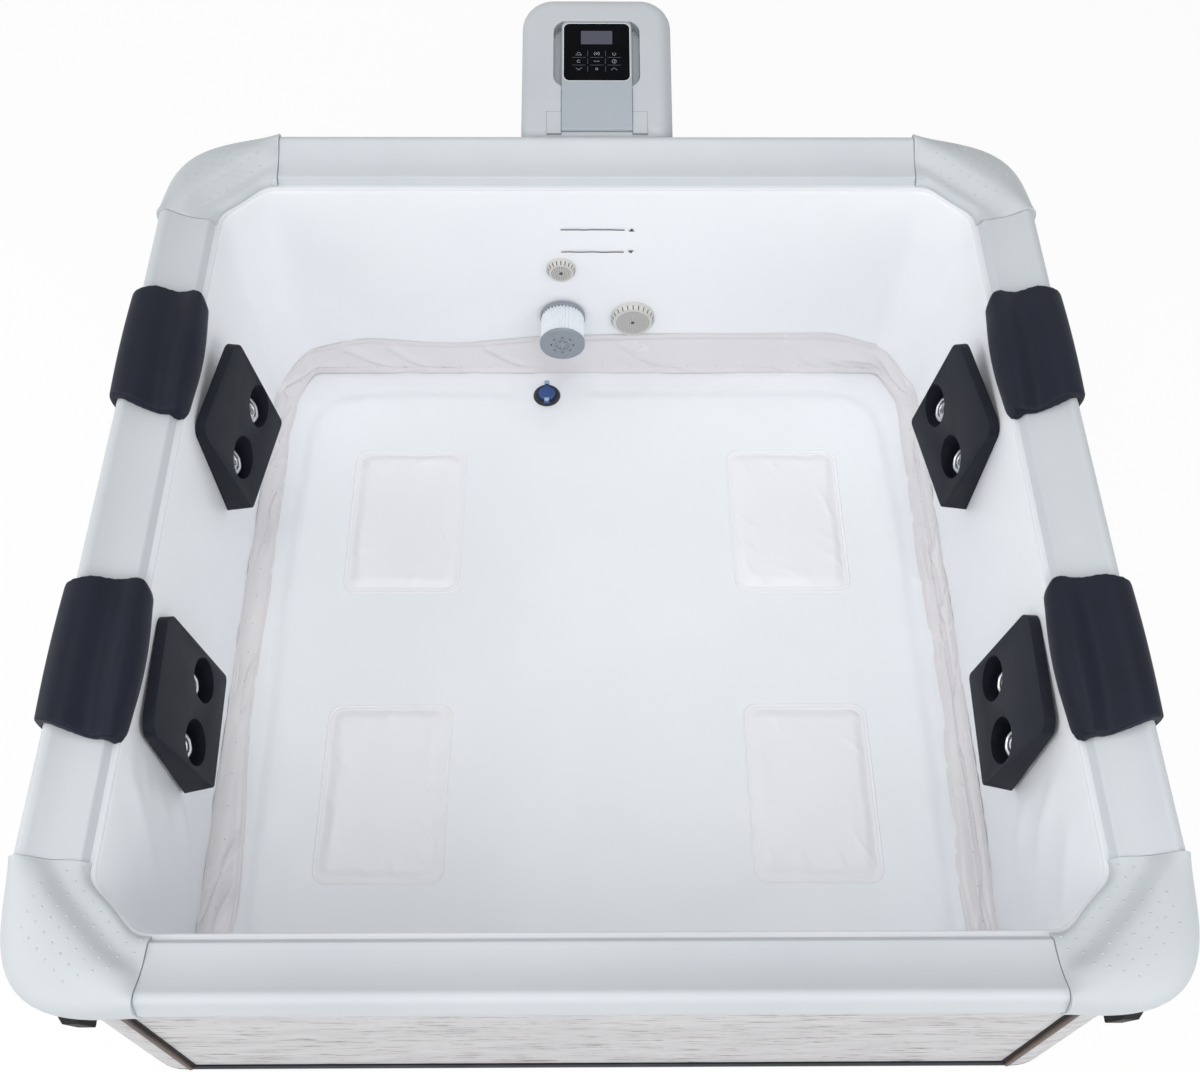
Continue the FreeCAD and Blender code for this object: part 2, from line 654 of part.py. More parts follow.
# Fittings of the back wall: tube with flange and spigot, clamp nut outside
flange_y = INNER - FIT
spigot_y = flange_y - FLANGE_THICK
fittings, nuts = [], []
for x, z in fitting_places:
    fitting = joined([
        rod(FLANGE_OD, FLANGE_THICK, (x, spigot_y, z), (0, 1, 0)),
        rod(TUBE_OD, TUBE_END - flange_y + 1.0, (x, flange_y - 1.0, z), (0, 1, 0)),
        rod(SPIGOT_OD, SPIGOT_LENGTH + 1.0, (x, spigot_y - SPIGOT_LENGTH, z), (0, 1, 0)),
    ])
    fitting = fitting.cut(rod(TUBE_BORE, TUBE_END, (x, flange_y, z), (0, 1, 0)))
    fitting = fitting.cut(rod(SPIGOT_OD - 8.0, 60.0, (x, flange_y - 50.0, z), (0, 1, 0)))
    fittings.append(fitting)
    nut = ring(NUT_OD, TUBE_OD + 2 * RUN, 22.0, (x, PANEL_OUT, z), (0, 1, 0))
    for k in range(6):
        angle = math.radians(60.0 * k)
        at = (x + NUT_OD / 2 * math.cos(angle), PANEL_OUT + 6.0, z + NUT_OD / 2 * math.sin(angle))
        nut = nut.cut(rod(6.0, 30.0, at, (0, 1, 0)))
    nuts.append(nut)
keep("wall_fittings", *fittings)
keep("union_nuts", *nuts)


def grille(diameter, depth, place, rim_slots, rows, hole):
    """Screwed cover over a fitting: dished face with rows of holes, slots round the rim."""
    x, z = place
    back = flange_y - FIT
    front = back - depth
    radius = diameter / 2
    outline = [V(0, 0, 0), V(radius, 0, 0), V(radius, 0.55 * depth, 0), V(radius - 5.0, depth, 0),
               V(0, depth, 0)]
    shell = Part.Face(Part.makePolygon(outline + [outline[0]])).revolve(V(0, 0, 0), V(0, 1, 0), 360)
    shell = shell.cut(rod(FLANGE_OD + 2 * FIT, FLANGE_THICK + FIT, (0, 0, 0), (0, 1, 0)))
    shell = shell.cut(rod(SPIGOT_OD + 2 * RUN, FLANGE_THICK + SPIGOT_LENGTH + 1.0, (0, 0, 0), (0, 1, 0)))
    cuts = [rod(7.0, 3.0, (0, depth - 2.0, 0), (0, 1, 0))]
    for count, row_radius in rows:
        for k in range(count):
            angle = 2 * math.pi * k / count
            cuts.append(rod(hole, depth, (row_radius * math.cos(angle), 2.0, row_radius * math.sin(angle)),
                            (0, 1, 0)))
    for k in range(rim_slots):
        slot = box(radius - 7.0, 0.45 * depth, -1.2, radius + 2.0, depth + 1.0, 1.2)
        slot.rotate(V(0, 0, 0), V(0, 1, 0), 360.0 * k / rim_slots)
        cuts.append(slot)
    shell = shell.cut(Part.makeCompound(cuts))
    shell.rotate(V(0, 0, 0), V(0, 0, 1), 180)
    shell.translate(V(x, back, z))
    return shell


keep("return_grille", grille(RETURN_OD, FLANGE_THICK + SPIGOT_LENGTH + 4.0, RETURN_AT, 20,
                             ((6, 9.0), (10, 21.0)), 4.0))
keep("suction_grille", grille(SUCTION_OD, FLANGE_THICK + SPIGOT_LENGTH + 7.0, SUCTION_AT, 24,
                              ((6, 11.0), (12, 24.0), (18, 38.0)), 5.0))

# Filter cartridge: pleated sleeve between a plain rear cap and a slotted front cap
fx, fz = FILTER_AT
rear_cap_y = spigot_y - FIT
rear_cap = ring(FILTER_OD, SPIGOT_OD + 2 * RUN, SPIGOT_LENGTH,
                (fx, rear_cap_y - SPIGOT_LENGTH, fz), (0, 1, 0))
pleat_y = rear_cap_y - SPIGOT_LENGTH
tooth = []
for k in range(2 * FILTER_PLEATS):
    radius = FILTER_OD / 2 - (2.0 if k % 2 else 9.0)
    angle = math.pi * k / FILTER_PLEATS
    tooth.append(V(fx + radius * math.cos(angle), pleat_y, fz + radius * math.sin(angle)))
pleats = prism(Part.makePolygon(tooth + [tooth[0]]), V(0, -FILTER_LENGTH, 0))
pleats = pleats.cut(rod(SPIGOT_OD + 14.0, FILTER_LENGTH, (fx, pleat_y - FILTER_LENGTH, fz), (0, 1, 0)))
keep("filter_cartridge", pleats)

front_y = pleat_y - FILTER_LENGTH
front_cap = rod(FILTER_OD, 8.0, (fx, front_y - 8.0, fz), (0, 1, 0))
rim_edges = [e for e in front_cap.Edges if e.BoundBox.YMax < front_y - 7.0]
front_cap = front_cap.makeFillet(2.0, rim_edges)
front_cap = front_cap.cut(ring(34.0, 31.0, 1.5, (fx, front_y - 8.0, fz), (0, 1, 0)))
cuts = []
for k in range(8):
    slot = box(fx - 3.5, front_y - 9.0, fz + 25.0, fx + 3.5, front_y + 1.0, fz + 28.0)
    slot.rotate(V(fx, front_y, fz), V(0, 1, 0), 45.0 * k)
    cuts.append(slot)
for k in range(6):
    slot = box(fx - 1.6, front_y - 9.0, fz + 9.0, fx + 1.6, front_y + 1.0, fz + 12.5)
    slot.rotate(V(fx, front_y, fz), V(0, 1, 0), 30.0 + 60.0 * k)
    cuts.append(slot)
front_cap = front_cap.cut(Part.makeCompound(cuts))
keep("filter_end_caps", rear_cap, front_cap)

# Floor drain with a hinged cap
dx, dy = DRAIN_AT
DRAIN_THICK = 6.0
DRAIN_PLAY = 1.0
drain_low = FLOOR_TOP + FIT
drain_top = drain_low + DRAIN_THICK
hinge_y = dy - DRAIN_OD / 2 + 5.0
hinge_z = drain_top + 5.0
drain = joined([
    Part.makeCone(DRAIN_OD / 2, DRAIN_OD / 2 - 4.0, DRAIN_THICK, V(dx, dy, drain_low)),
    rod(DRAIN_CAP_OD + 10.0, drain_low - 1.0, (dx, dy, 1.0), (0, 0, 1)),
])
seat_depth = DRAIN_CAP_OD + 2 * DRAIN_PLAY
drain = drain.cut(rod(seat_depth, 30.0, (dx, dy, drain_top - 3.0), (0, 0, 1)))
drain = drain.cut(rod(DRAIN_CAP_OD - 8.0, 40.0, (dx, dy, 0.0), (0, 0, 1)))
lugs = []
for sx in (-1, 1):
    lug = plate(rectangle(-2.0, -3.0, 2.0, 3.0), [0.0] * 4, drain_top - 3.0, hinge_z + 3.0)
    lug.translate(V(dx + sx * 9.0, hinge_y, 0))
    lugs.append(lug)
pin = rod(3.0, 18.0, (dx - 9.0, hinge_y, hinge_z), (1, 0, 0))
drain = joined([drain] + lugs + [pin])
for k in range(4):
    angle = math.radians(45.0 + 90.0 * k)
    at = (dx + 27.5 * math.cos(angle), dy + 27.5 * math.sin(angle), drain_top - 1.5)
    drain = drain.cut(rod(4.0, 5.0, at, (0, 0, 1)))
keep("drain_body", drain)

cap_low = drain_top - 3.0 + FIT
strap_half = 7.0 - FIT
lid = rod(DRAIN_CAP_OD, 9.0, (dx, dy, cap_low), (0, 0, 1))
lid = lid.makeChamfer(2.0, [e for e in lid.Edges if e.BoundBox.ZMin > cap_low + 8.0])
strap = box(dx - strap_half, hinge_y, drain_top + 3.4, dx + strap_half, dy - 15.0, cap_low + 8.0)
barrel = rod(6.4, 2 * strap_half, (dx - strap_half, hinge_y, hinge_z), (1, 0, 0))
tab = plate(rectangle(dx - 6.0, dy + DRAIN_CAP_OD / 2 - 3.0, dx + 6.0, dy + DRAIN_CAP_OD / 2 + 9.0),
            [0.0, 0.0, 4.0, 4.0], drain_top + 1.0, drain_top + 4.0)
lid = joined([lid, strap, barrel, tab])
lid = lid.cut(rod(3.0 + 2 * RUN, 30.0, (dx - 15.0, hinge_y, hinge_z), (1, 0, 0)))
keep("drain_cap", lid)


# Control box behind the tub

def sloped(shape):
    """Piece drawn flat (x, along, up) laid on the sloping top of the box."""
    copy = shape.copy()
    copy.rotate(V(0, 0, 0), V(1, 0, 0), BOX_SLOPE)
    copy.translate(V(0, BOX_FRONT, BOX_FRONT_TOP))
    return copy


def box_block(inset):
    """The whole box as a block, all faces moved in by inset."""
    rise = BOX_DEPTH * math.tan(math.radians(BOX_SLOPE))
    drop = inset / math.cos(math.radians(BOX_SLOPE))
    half = BOX_WIDTH / 2
    front, back = BOX_FRONT + inset, BOX_FRONT + BOX_DEPTH + 50.0
    tilt = rise / BOX_DEPTH
    side = [
        (front, inset), (back, inset), (back, BOX_FRONT_TOP + (back - BOX_FRONT) * tilt - drop),
        (front, BOX_FRONT_TOP + inset * tilt - drop),
    ]
    slab = prism(rounded(side, [0.0, 0.0, 0.0, BOX_BROW - inset], lambda y, z: V(-half + inset, y, z)),
                 V(BOX_WIDTH - 2 * inset, 0, 0))
    outline = grown(rectangle(-half, BOX_FRONT, half, BOX_FRONT + BOX_DEPTH), -inset)
    far = BOX_FAR_RADIUS - inset
    column = plate(outline, [0.0, 0.0, far, far], inset, BOX_FRONT_TOP + 2 * rise)
    block = column.common(slab)
    top = [e for e in block.Edges if e.BoundBox.ZMin > BOX_FRONT_TOP - 2 * BOX_EDGE
           and e.BoundBox.YMax > BOX_FRONT + 2 * BOX_BROW]
    return block.makeFillet(BOX_EDGE - inset, top)


solid_box = box_block(0.0)
shell = solid_box.cut(box_block(BOX_WALL))
big = 3000.0
below = box(-big, -big, -big, big, big, BOX_SPLIT)
base = shell.common(below)
cover = shell.cut(below)

arm_half = ARM_WIDTH / 2
arm_start = HINGE_AT - ARM_THICK / 2
arm_low = ARM_PROUD - ARM_THICK
cover_width, cover_length, cover_depth = HINGE_COVER


def channel(extra):
    """Room for the arm, its finger recess and the two hinge covers, or the tray round them."""
    low = arm_low - 1.0
    parts = [
        box(-arm_half - ARM_GAP - extra, arm_start - ARM_GAP - extra, low - extra,
            arm_half + ARM_GAP + extra, ARM_END + 2 * ARM_GAP + extra, 60.0),
        plate(grown(rectangle(-RECESS_WIDTH / 2, RECESS_START, RECESS_WIDTH / 2,
                              ARM_END + 2 * ARM_GAP), extra),
              [28.0 + extra] * 4, low - RECESS_DEPTH + 12.0 - extra, 60.0),
    ]
    for sx in (-1, 1):
        x0 = sx * (arm_half + ARM_GAP - 1.0)
        x1 = sx * (arm_half + ARM_GAP + cover_width + FIT + extra)
        parts.append(box(min(x0, x1), HINGE_AT - 14.0 - FIT - extra, 0.6 - cover_depth - FIT - extra,
                         max(x0, x1), HINGE_AT - 14.0 + cover_length + FIT + extra, 60.0))
    return sloped(joined(parts))


tray = channel(BOX_WALL).common(solid_box)
cover = joined([cover, tray]).cut(channel(0.0))
lip = box_block(BOX_WALL + FIT).common(box(-big, -big, BOX_SPLIT - 10.0, big, big, BOX_SPLIT))
lip_root = box_block(BOX_WALL - 1.0).common(box(-big, -big, BOX_SPLIT, big, big, BOX_SPLIT + 4.0))
cover = joined([cover, joined([lip, lip_root]).cut(box_block(BOX_WALL + 3.0))])
keep("box_cover", cover)

front_holes = [
    rod(TUBE_OD + 1.0, 40.0, (x, BOX_FRONT - 20.0, z), (0, 1, 0)) for x, z in fitting_places
]
front_holes += [
    rod(JET_PIPE + 1.0, 40.0, (sx * JET_PIPE_X, BOX_FRONT - 20.0, JET_HEIGHT), (0, 1, 0))
    for sx in (-1, 1)
]
for k in range(9):
    vent = box(BOX_WIDTH / 2 - 20.0, BOX_FRONT + 70.0 + 18.0 * k, 90.0,
               BOX_WIDTH / 2 + 20.0, BOX_FRONT + 78.0 + 18.0 * k, 190.0)
    front_holes += [vent, mirrored(vent)]
for hole in front_holes:
    base = base.cut(hole)
gland_at = (-0.3 * BOX_WIDTH, BOX_FRONT + BOX_DEPTH - 2.0, 70.0)
gland = ring(24.0, 10.0, 16.0, gland_at, (0, 1, 0))
gland_collar = ring(32.0, 10.0, 7.0, gland_at, (0, 1, 0))
base = joined([base.cut(rod(10.0, 40.0, (gland_at[0], gland_at[1] - 20.0, gland_at[2]), (0, 1, 0))),
               gland, gland_collar])
keep("box_base", base)

# Tilting arm with the display, hinge covers and pin
profile = [(arm_start, arm_low), (ARM_END, arm_low + 4.0), (ARM_END, ARM_PROUD), (arm_start, ARM_PROUD)]
profile_radii = [ARM_THICK / 2 - 0.6, 4.0, 4.0, ARM_THICK / 2 - 0.6]
arm = prism(rounded(profile, profile_radii, lambda u, w: V(-arm_half, u, w)), V(ARM_WIDTH, 0, 0))
ends = plate(rectangle(-arm_half, arm_start - 1.0, arm_half, ARM_END), [0.0, 0.0, 16.0, 16.0], -40.0, 40.0)
arm = arm.common(ends)
display_start = ARM_END - DISPLAY[1] - 6.0
glass_outline = rectangle(-DISPLAY[0] / 2, display_start, DISPLAY[0] / 2, display_start + DISPLAY[1])
glass = plate(glass_outline, [14.0] * 4, ARM_PROUD - DISPLAY[2], ARM_PROUD)
arm = arm.cut(plate(grown(glass_outline, FIT), [14.0 + FIT] * 4, ARM_PROUD - DISPLAY[2], ARM_PROUD + 5.0))
arm = arm.cut(rod(PIN_OD + 2 * RUN, ARM_WIDTH + 20.0, (-arm_half - 10.0, HINGE_AT, HINGE_W), (1, 0, 0)))
keep("panel_arm", sloped(arm))
keep("display_glass", sloped(glass))

pin_half = arm_half + ARM_GAP + cover_width - 6.0
keep("hinge_pin", sloped(rod(PIN_OD, 2 * pin_half, (-pin_half, HINGE_AT, HINGE_W), (1, 0, 0))))
covers = []
for sx in (-1, 1):
    x0 = arm_half + ARM_GAP
    piece = plate(rectangle(x0, HINGE_AT - 14.0, x0 + cover_width, HINGE_AT - 14.0 + cover_length),
                  [0.5, 2.0, 2.0, 0.5], 0.6 - cover_depth, 0.6)
    piece = piece.cut(rod(PIN_OD + 2 * RUN, 2 * pin_half, (-pin_half, HINGE_AT, HINGE_W), (1, 0, 0)))
    covers.append(sloped(piece if sx > 0 else mirrored(piece)))
keep("hinge_covers", *covers)


# Machinery in the box
def pump(place, volute, motor, length):
    """Pump on the end of a wall tube: volute with an upward outlet, ribbed motor behind."""
    x, z = place
    y = TUBE_END
    body = joined([
        rod(TUBE_OD, 12.0, (x, y, z), (0, 1, 0)),
        rod(volute, 50.0, (x, y + 10.0, z), (0, 1, 0)),
        rod(motor, length, (x, y + 58.0, z), (0, 1, 0)),
        rod(34.0, volute / 2 + 24.0, (x, y + 35.0, z), (0, 0, 1)),
        box(x - motor / 2 + 6.0, y + 20.0, BOX_WALL,
            x + motor / 2 - 6.0, y + 40.0 + length, z - 0.45 * motor),
    ])
    grooves = [
        ring(motor + 4.0, motor - 8.0, 6.0, (x, y + 70.0 + 30.0 * k, z), (0, 1, 0))
        for k in range(int((length - 20.0) / 30.0))
    ]
    return body.cut(Part.makeCompound(grooves))


keep("filter_pump", pump(FILTER_AT, *FILTER_PUMP))
keep("massage_pump", pump(SUCTION_AT, *MASSAGE_PUMP))
hx, hz = RETURN_AT
back_face = BOX_FRONT + BOX_DEPTH - BOX_WALL
board_y = back_face - BOARD_STAND
heater_start = TUBE_END + 10.0
heater_length = board_y - BOARD_TALL - HEATER_GAP - heater_start
heater = joined([
    rod(TUBE_OD, 12.0, (hx, TUBE_END, hz), (0, 1, 0)),
    rod(HEATER_OD, heater_length, (hx, heater_start, hz), (0, 1, 0)),
    box(hx - 20.0, heater_start + 50.0, hz + 0.4 * HEATER_OD,
        hx + 20.0, heater_start + heater_length - 50.0, hz + HEATER_OD / 2 + 14.0),
])
keep("heater", heater)

board_width, board_height, board_thick = BOARD
board_low = BOX_SPLIT - BOARD_DROP
board = plate(rectangle(-board_width / 2, 0.0, board_width / 2, board_height), [6.0] * 4, 0.0, board_thick)
components = [
    box(-70.0, 20.0, 1.0, -30.0, 60.0, 28.0),
    box(-10.0, 30.0, 1.0, 30.0, 50.0, 20.0),
    rod(24.0, BOARD_TALL - 1.0, (55.0, 45.0, 1.0), (0, 0, 1)),
    box(-60.0, 90.0, 1.0, 60.0, 100.0, 16.0),
]
board = joined([board] + components)
board.rotate(V(0, 0, 0), V(1, 0, 0), 90)
board.translate(V(0, board_y, board_low))
post_x = board_width / 2 - POST_INSET
posts = [
    rod(BOARD_POST, BOARD_STAND + board_thick, (x, board_y - board_thick, board_low + z), (0, 1, 0))
    for x in (-post_x, post_x) for z in (POST_INSET, board_height - POST_INSET)
]
keep("control_board", joined([board] + [p.common(box_block(BOX_WALL)) for p in posts]))

os.makedirs("parts", exist_ok=True)
for node, shape in PARTS.items():
    shape.exportStep("parts/" + node + ".step")
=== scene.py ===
"""Looks of the square portable hot tub: finishes, liner, cushions, small marks, light, camera.

Metres, in the frame of the model: +Z up, +Y to the control box, origin on the ground.
"""
import math

import bmesh
import bpy
from mathutils import Matrix, Vector, noise
from mathutils.bvhtree import BVHTree


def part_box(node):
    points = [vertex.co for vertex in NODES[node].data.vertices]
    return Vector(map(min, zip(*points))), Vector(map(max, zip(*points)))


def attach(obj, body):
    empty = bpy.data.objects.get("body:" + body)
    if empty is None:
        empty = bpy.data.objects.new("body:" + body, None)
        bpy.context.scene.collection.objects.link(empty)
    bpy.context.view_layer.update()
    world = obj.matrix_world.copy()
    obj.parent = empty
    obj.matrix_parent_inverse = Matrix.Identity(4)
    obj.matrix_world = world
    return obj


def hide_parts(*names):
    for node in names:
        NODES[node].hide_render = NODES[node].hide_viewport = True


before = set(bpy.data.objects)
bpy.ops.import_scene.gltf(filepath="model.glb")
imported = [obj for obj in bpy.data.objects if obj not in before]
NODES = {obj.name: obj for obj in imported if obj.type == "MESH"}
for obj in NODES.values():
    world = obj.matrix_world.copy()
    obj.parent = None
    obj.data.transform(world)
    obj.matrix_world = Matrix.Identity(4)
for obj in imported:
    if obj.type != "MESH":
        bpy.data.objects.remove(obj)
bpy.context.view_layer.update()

CORNERS = ("front_left", "front_right", "back_left", "back_right")

# Camera of the photograph: picture in pixels, focal length in pixels, place and turn
PICTURE = (1200, 1072)
FOCAL = 1343.5
EYE = (-0.0199, -1.3697, 2.7271)
PITCH = 58.44            # degrees below the horizon
YAW = 0.93
ROLL = -0.71
SENSOR = 36.0            # millimetres

# Liner, read from the frame
SHEET = 0.002            # vinyl of the wall and floor
CORNER_LEG = 0.082       # leg of the chamfer across each inside corner
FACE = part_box("liner_floor")[1][0] - SHEET
WALL_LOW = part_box("liner_wall")[0][2]
WALL_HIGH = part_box("liner_wall")[1][2]
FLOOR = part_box("liner_floor")[1][2]
HEM = 0.024              # liner folded over the walls
HEM_ROUND = 0.005
PANEL_INSET = 0.088      # raised middle of the floor, from the walls
PANEL_RISE = 0.0085
PANEL_STEP = 0.009       # half width of the slope up to it
LINER = 0.0012           # thickness of the drawn sheets
SKIRT_LINER = 0.0009

# Control panel
SLOPE = math.radians(14.0)
GLASS = (0.150, 0.153, 0.003)


# Small helpers

def srgb(red, green, blue):
    """Linear colour of an 8-bit screen colour."""
    def linear(value):
        value /= 255.0
        return value / 12.92 if value <= 0.04045 else ((value + 0.055) / 1.055) ** 2.4
    return (linear(red), linear(green), linear(blue), 1.0)


def ease(low, high, value):
    """Smooth step from 0 at low to 1 at high; low may be the larger."""
    share = min(1.0, max(0.0, (value - low) / (high - low)))
    return share * share * (3.0 - 2.0 * share)


def blend(a, b, share):
    return a + (b - a) * share


def ripple(x, y, z):
    return noise.noise(Vector((x, y, z)))


def add_object(name, data):
    thing = bpy.data.objects.new(name, data)
    bpy.context.scene.collection.objects.link(thing)
    return thing


def middle_of(node):
    low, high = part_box(node)
    return (Vector(low) + Vector(high)) / 2


def circle(middle, side, other, radius, count):
    """Points round a middle, in the plane of two directions."""
    turns = [2 * math.pi * k / count for k in range(count)]
    return [middle + radius * (math.cos(t) * side + math.sin(t) * other) for t in turns]


def crease(x, y, z, width=0.42):
    """Thin ridges along the zero lines of a noise: 1 on a ridge, 0 away from it."""
    return max(0.0, 1.0 - abs(ripple(x, y, z)) / width) ** 2


# Finishes

class Finish:
    """A shader whose colour, roughness and relief come from noise in the model's own space."""

    def __init__(self, name, roughness, **sockets):
        self.material = bpy.data.materials.new(name)
        self.material.use_nodes = True
        self.tree = self.material.node_tree
        self.shader = self.tree.nodes["Principled BSDF"]
        self.shader.inputs["Roughness"].default_value = roughness
        for socket, value in sockets.items():
            self.shader.inputs[socket.replace("_", " ")].default_value = value
        self.place = self.tree.nodes.new("ShaderNodeTexCoord").outputs["Object"]
        self.normal = None

    def node(self, kind, **inputs):
        made = self.tree.nodes.new("ShaderNode" + kind)
        for socket, value in inputs.items():
            self.feed(made.inputs[socket.replace("_", " ")], value)
        return made

    def feed(self, socket, value):
        """Link an output to the socket, or set the socket to a value."""
        if isinstance(value, bpy.types.NodeSocket):
            self.tree.links.new(value, socket)
        else:
            socket.default_value = value

    def grain(self, scale, detail=2.0, stretch=(1.0, 1.0, 1.0), roughness=0.5, offset=(0.0, 0.0, 0.0)):
        """Noise with scale cells to the metre, times the stretch on each axis."""
        place = self.node("Mapping", Vector=self.place, Scale=stretch, Location=offset)
        found = self.node("TexNoise", Vector=place.outputs[0], Scale=scale, Detail=detail,
                          Roughness=roughness)
        return found.outputs[0]

    def level(self, value, low, high, to_low=0.0, to_high=1.0):
        return self.node("MapRange", Value=value, From_Min=low, From_Max=high, To_Min=to_low,
                         To_Max=to_high).outputs[0]

    def math(self, operation, a, b):
        made = self.node("Math")
        made.operation = operation
        self.feed(made.inputs[0], a)
        self.feed(made.inputs[1], b)
        return made.outputs[0]

    def mix(self, share, a, b):
        made = self.node("Mix")
        made.data_type = "RGBA"
        self.feed(made.inputs[0], share)
        self.feed(made.inputs[6], a)
        self.feed(made.inputs[7], b)
        return made.outputs[2]

    def paint(self, colour):
        self.feed(self.shader.inputs["Base Color"], colour)

    def tone(self, value, low, high, colour, shade):
        """Paint from one screen colour to another as the value goes from low to high."""
        self.paint(self.mix(self.level(value, low, high), srgb(*colour), srgb(*shade)))

    def gloss(self, value):
        self.feed(self.shader.inputs["Roughness"], value)

    def relief(self, height, depth, strength=1.0):
        """Bump of that depth in metres, laid over the relief so far."""
        bump = self.node("Bump", Height=height, Distance=depth, Strength=strength)
        if self.normal is not None:
            self.feed(bump.inputs["Normal"], self.normal)
        self.normal = bump.outputs[0]
        self.feed(self.shader.inputs["Normal"], self.normal)


def moulded(name, colour, shade, roughness, fine=900.0, depth=0.0002, **sockets):
    """Moulded plastic: slow change of tone, uneven gloss and a fine spark-eroded grain."""
    finish = Finish(name, roughness, **sockets)
    slow = finish.grain(3.0, 3.0)
    grain = finish.grain(fine, 2.0)
    finish.tone(slow, 0.3, 0.7, colour, shade)
    finish.gloss(finish.level(finish.grain(14.0, 3.0), 0.3, 0.7, roughness - 0.05, roughness + 0.06))
    finish.relief(grain, depth, 0.25)
    return finish


def rubbery(name, colour, shade, roughness, depth=0.0004):
    """Foam with a skin: fine pores and slightly paler rubbed patches."""
    finish = Finish(name, roughness, Specular_IOR_Level=0.16)
    patches = finish.grain(9.0, 4.0)
    pores = finish.grain(1400.0, 2.0)
    finish.tone(patches, 0.35, 0.7, colour, shade)
    finish.gloss(finish.level(patches, 0.3, 0.7, roughness - 0.06, roughness + 0.06))
    finish.relief(pores, depth, 0.3)
    return finish


def vinyl(name, colour, shade, roughness, wrinkle):
    """Coated vinyl: slow cloudy tone, a faint fabric grain and soft wrinkles in its relief."""
    finish = Finish(name, roughness, Specular_IOR_Level=0.4)
    cloud = finish.grain(2.2, 4.0)
    finish.tone(cloud, 0.3, 0.72, colour, shade)
    finish.gloss(finish.level(finish.grain(11.0, 3.0), 0.3, 0.7, roughness - 0.05, roughness + 0.08))
    finish.relief(finish.grain(26.0, 4.0, stretch=(1.0, 1.0, 0.5)), 0.004, wrinkle)
    finish.relief(finish.grain(700.0, 1.0), 0.0002, 0.2)
    return finish


def whitewashed_board():
    """Printed boards: pale mottled wood with short, sparse, level dark streaks."""
    finish = Finish("whitewashed_board", 0.5, Specular_IOR_Level=0.3)
    cloud = finish.grain(7.0, 5.0, (1.0, 1.0, 3.0), 0.6)
    fine = finish.grain(22.0, 6.0, (1.0, 1.0, 16.0), 0.65)
    sparse = finish.grain(9.0, 2.0, (1.0, 1.0, 5.0), 0.5, (5.0, 2.0, 1.0))
    dark = finish.grain(14.0, 6.0, (1.0, 1.0, 18.0), 0.72, (3.1, 1.7, 0.4))
    pale, grey = srgb(210, 209, 211), srgb(197, 195, 197)
    streak, line = srgb(178, 174, 175), srgb(92, 86, 86)
    tone = finish.mix(finish.level(cloud, 0.35, 0.68), pale, grey)
    tone = finish.mix(finish.level(fine, 0.50, 0.74, 0.0, 0.7), tone, streak)
    cracks = finish.math("MULTIPLY", finish.level(dark, 0.55, 0.60), finish.level(sparse, 0.42, 0.55))
    finish.paint(finish.mix(cracks, tone, line))
    finish.gloss(finish.level(fine, 0.3, 0.7, 0.42, 0.56))
    finish.relief(fine, 0.0006, 0.35)
    return finish


def dark_wood():
    """Brown edge trims, grain up and down."""
    finish = Finish("dark_wood", 0.45)
    fibre = finish.grain(90.0, 5.0, (1.0, 1.0, 0.05), 0.6)
    finish.tone(fibre, 0.35, 0.66, (92, 72, 60), (52, 40, 35))
    finish.relief(fibre, 0.0004, 0.4)
    return finish


def bright_metal(name, colour, shade, roughness, metallic=1.0):
    """Turned or plated metal; a lower metallic share is lacquered plating on plastic."""
    finish = Finish(name, roughness, Metallic=metallic)
    brushed = finish.grain(240.0, 3.0, (1.0, 1.0, 0.25))
    finish.tone(brushed, 0.35, 0.65, colour, shade)
    finish.gloss(finish.level(brushed, 0.3, 0.7, roughness - 0.04, roughness + 0.1))
    return finish


def pleated_paper():
    finish = Finish("pleated_paper", 0.75)
    fibre = finish.grain(420.0, 4.0)
    finish.tone(fibre, 0.3, 0.7, (246, 248, 250), (226, 232, 238))
    finish.relief(fibre, 0.0004, 0.4)
    return finish


def dark_glass():
    finish = Finish("dark_glass", 0.08, Specular_IOR_Level=0.04)
    smear = finish.grain(16.0, 4.0)
    finish.tone(smear, 0.3, 0.7, (6, 7, 11), (10, 11, 16))
    finish.gloss(finish.level(smear, 0.3, 0.7, 0.06, 0.16))
    return finish


def printed(name, colour, shade):
    """Printed or lit marks, with the unevenness of ink."""
    finish = Finish(name, 0.5)
    ink = finish.grain(600.0, 3.0)
    finish.tone(ink, 0.3, 0.7, colour, shade)
    return finish


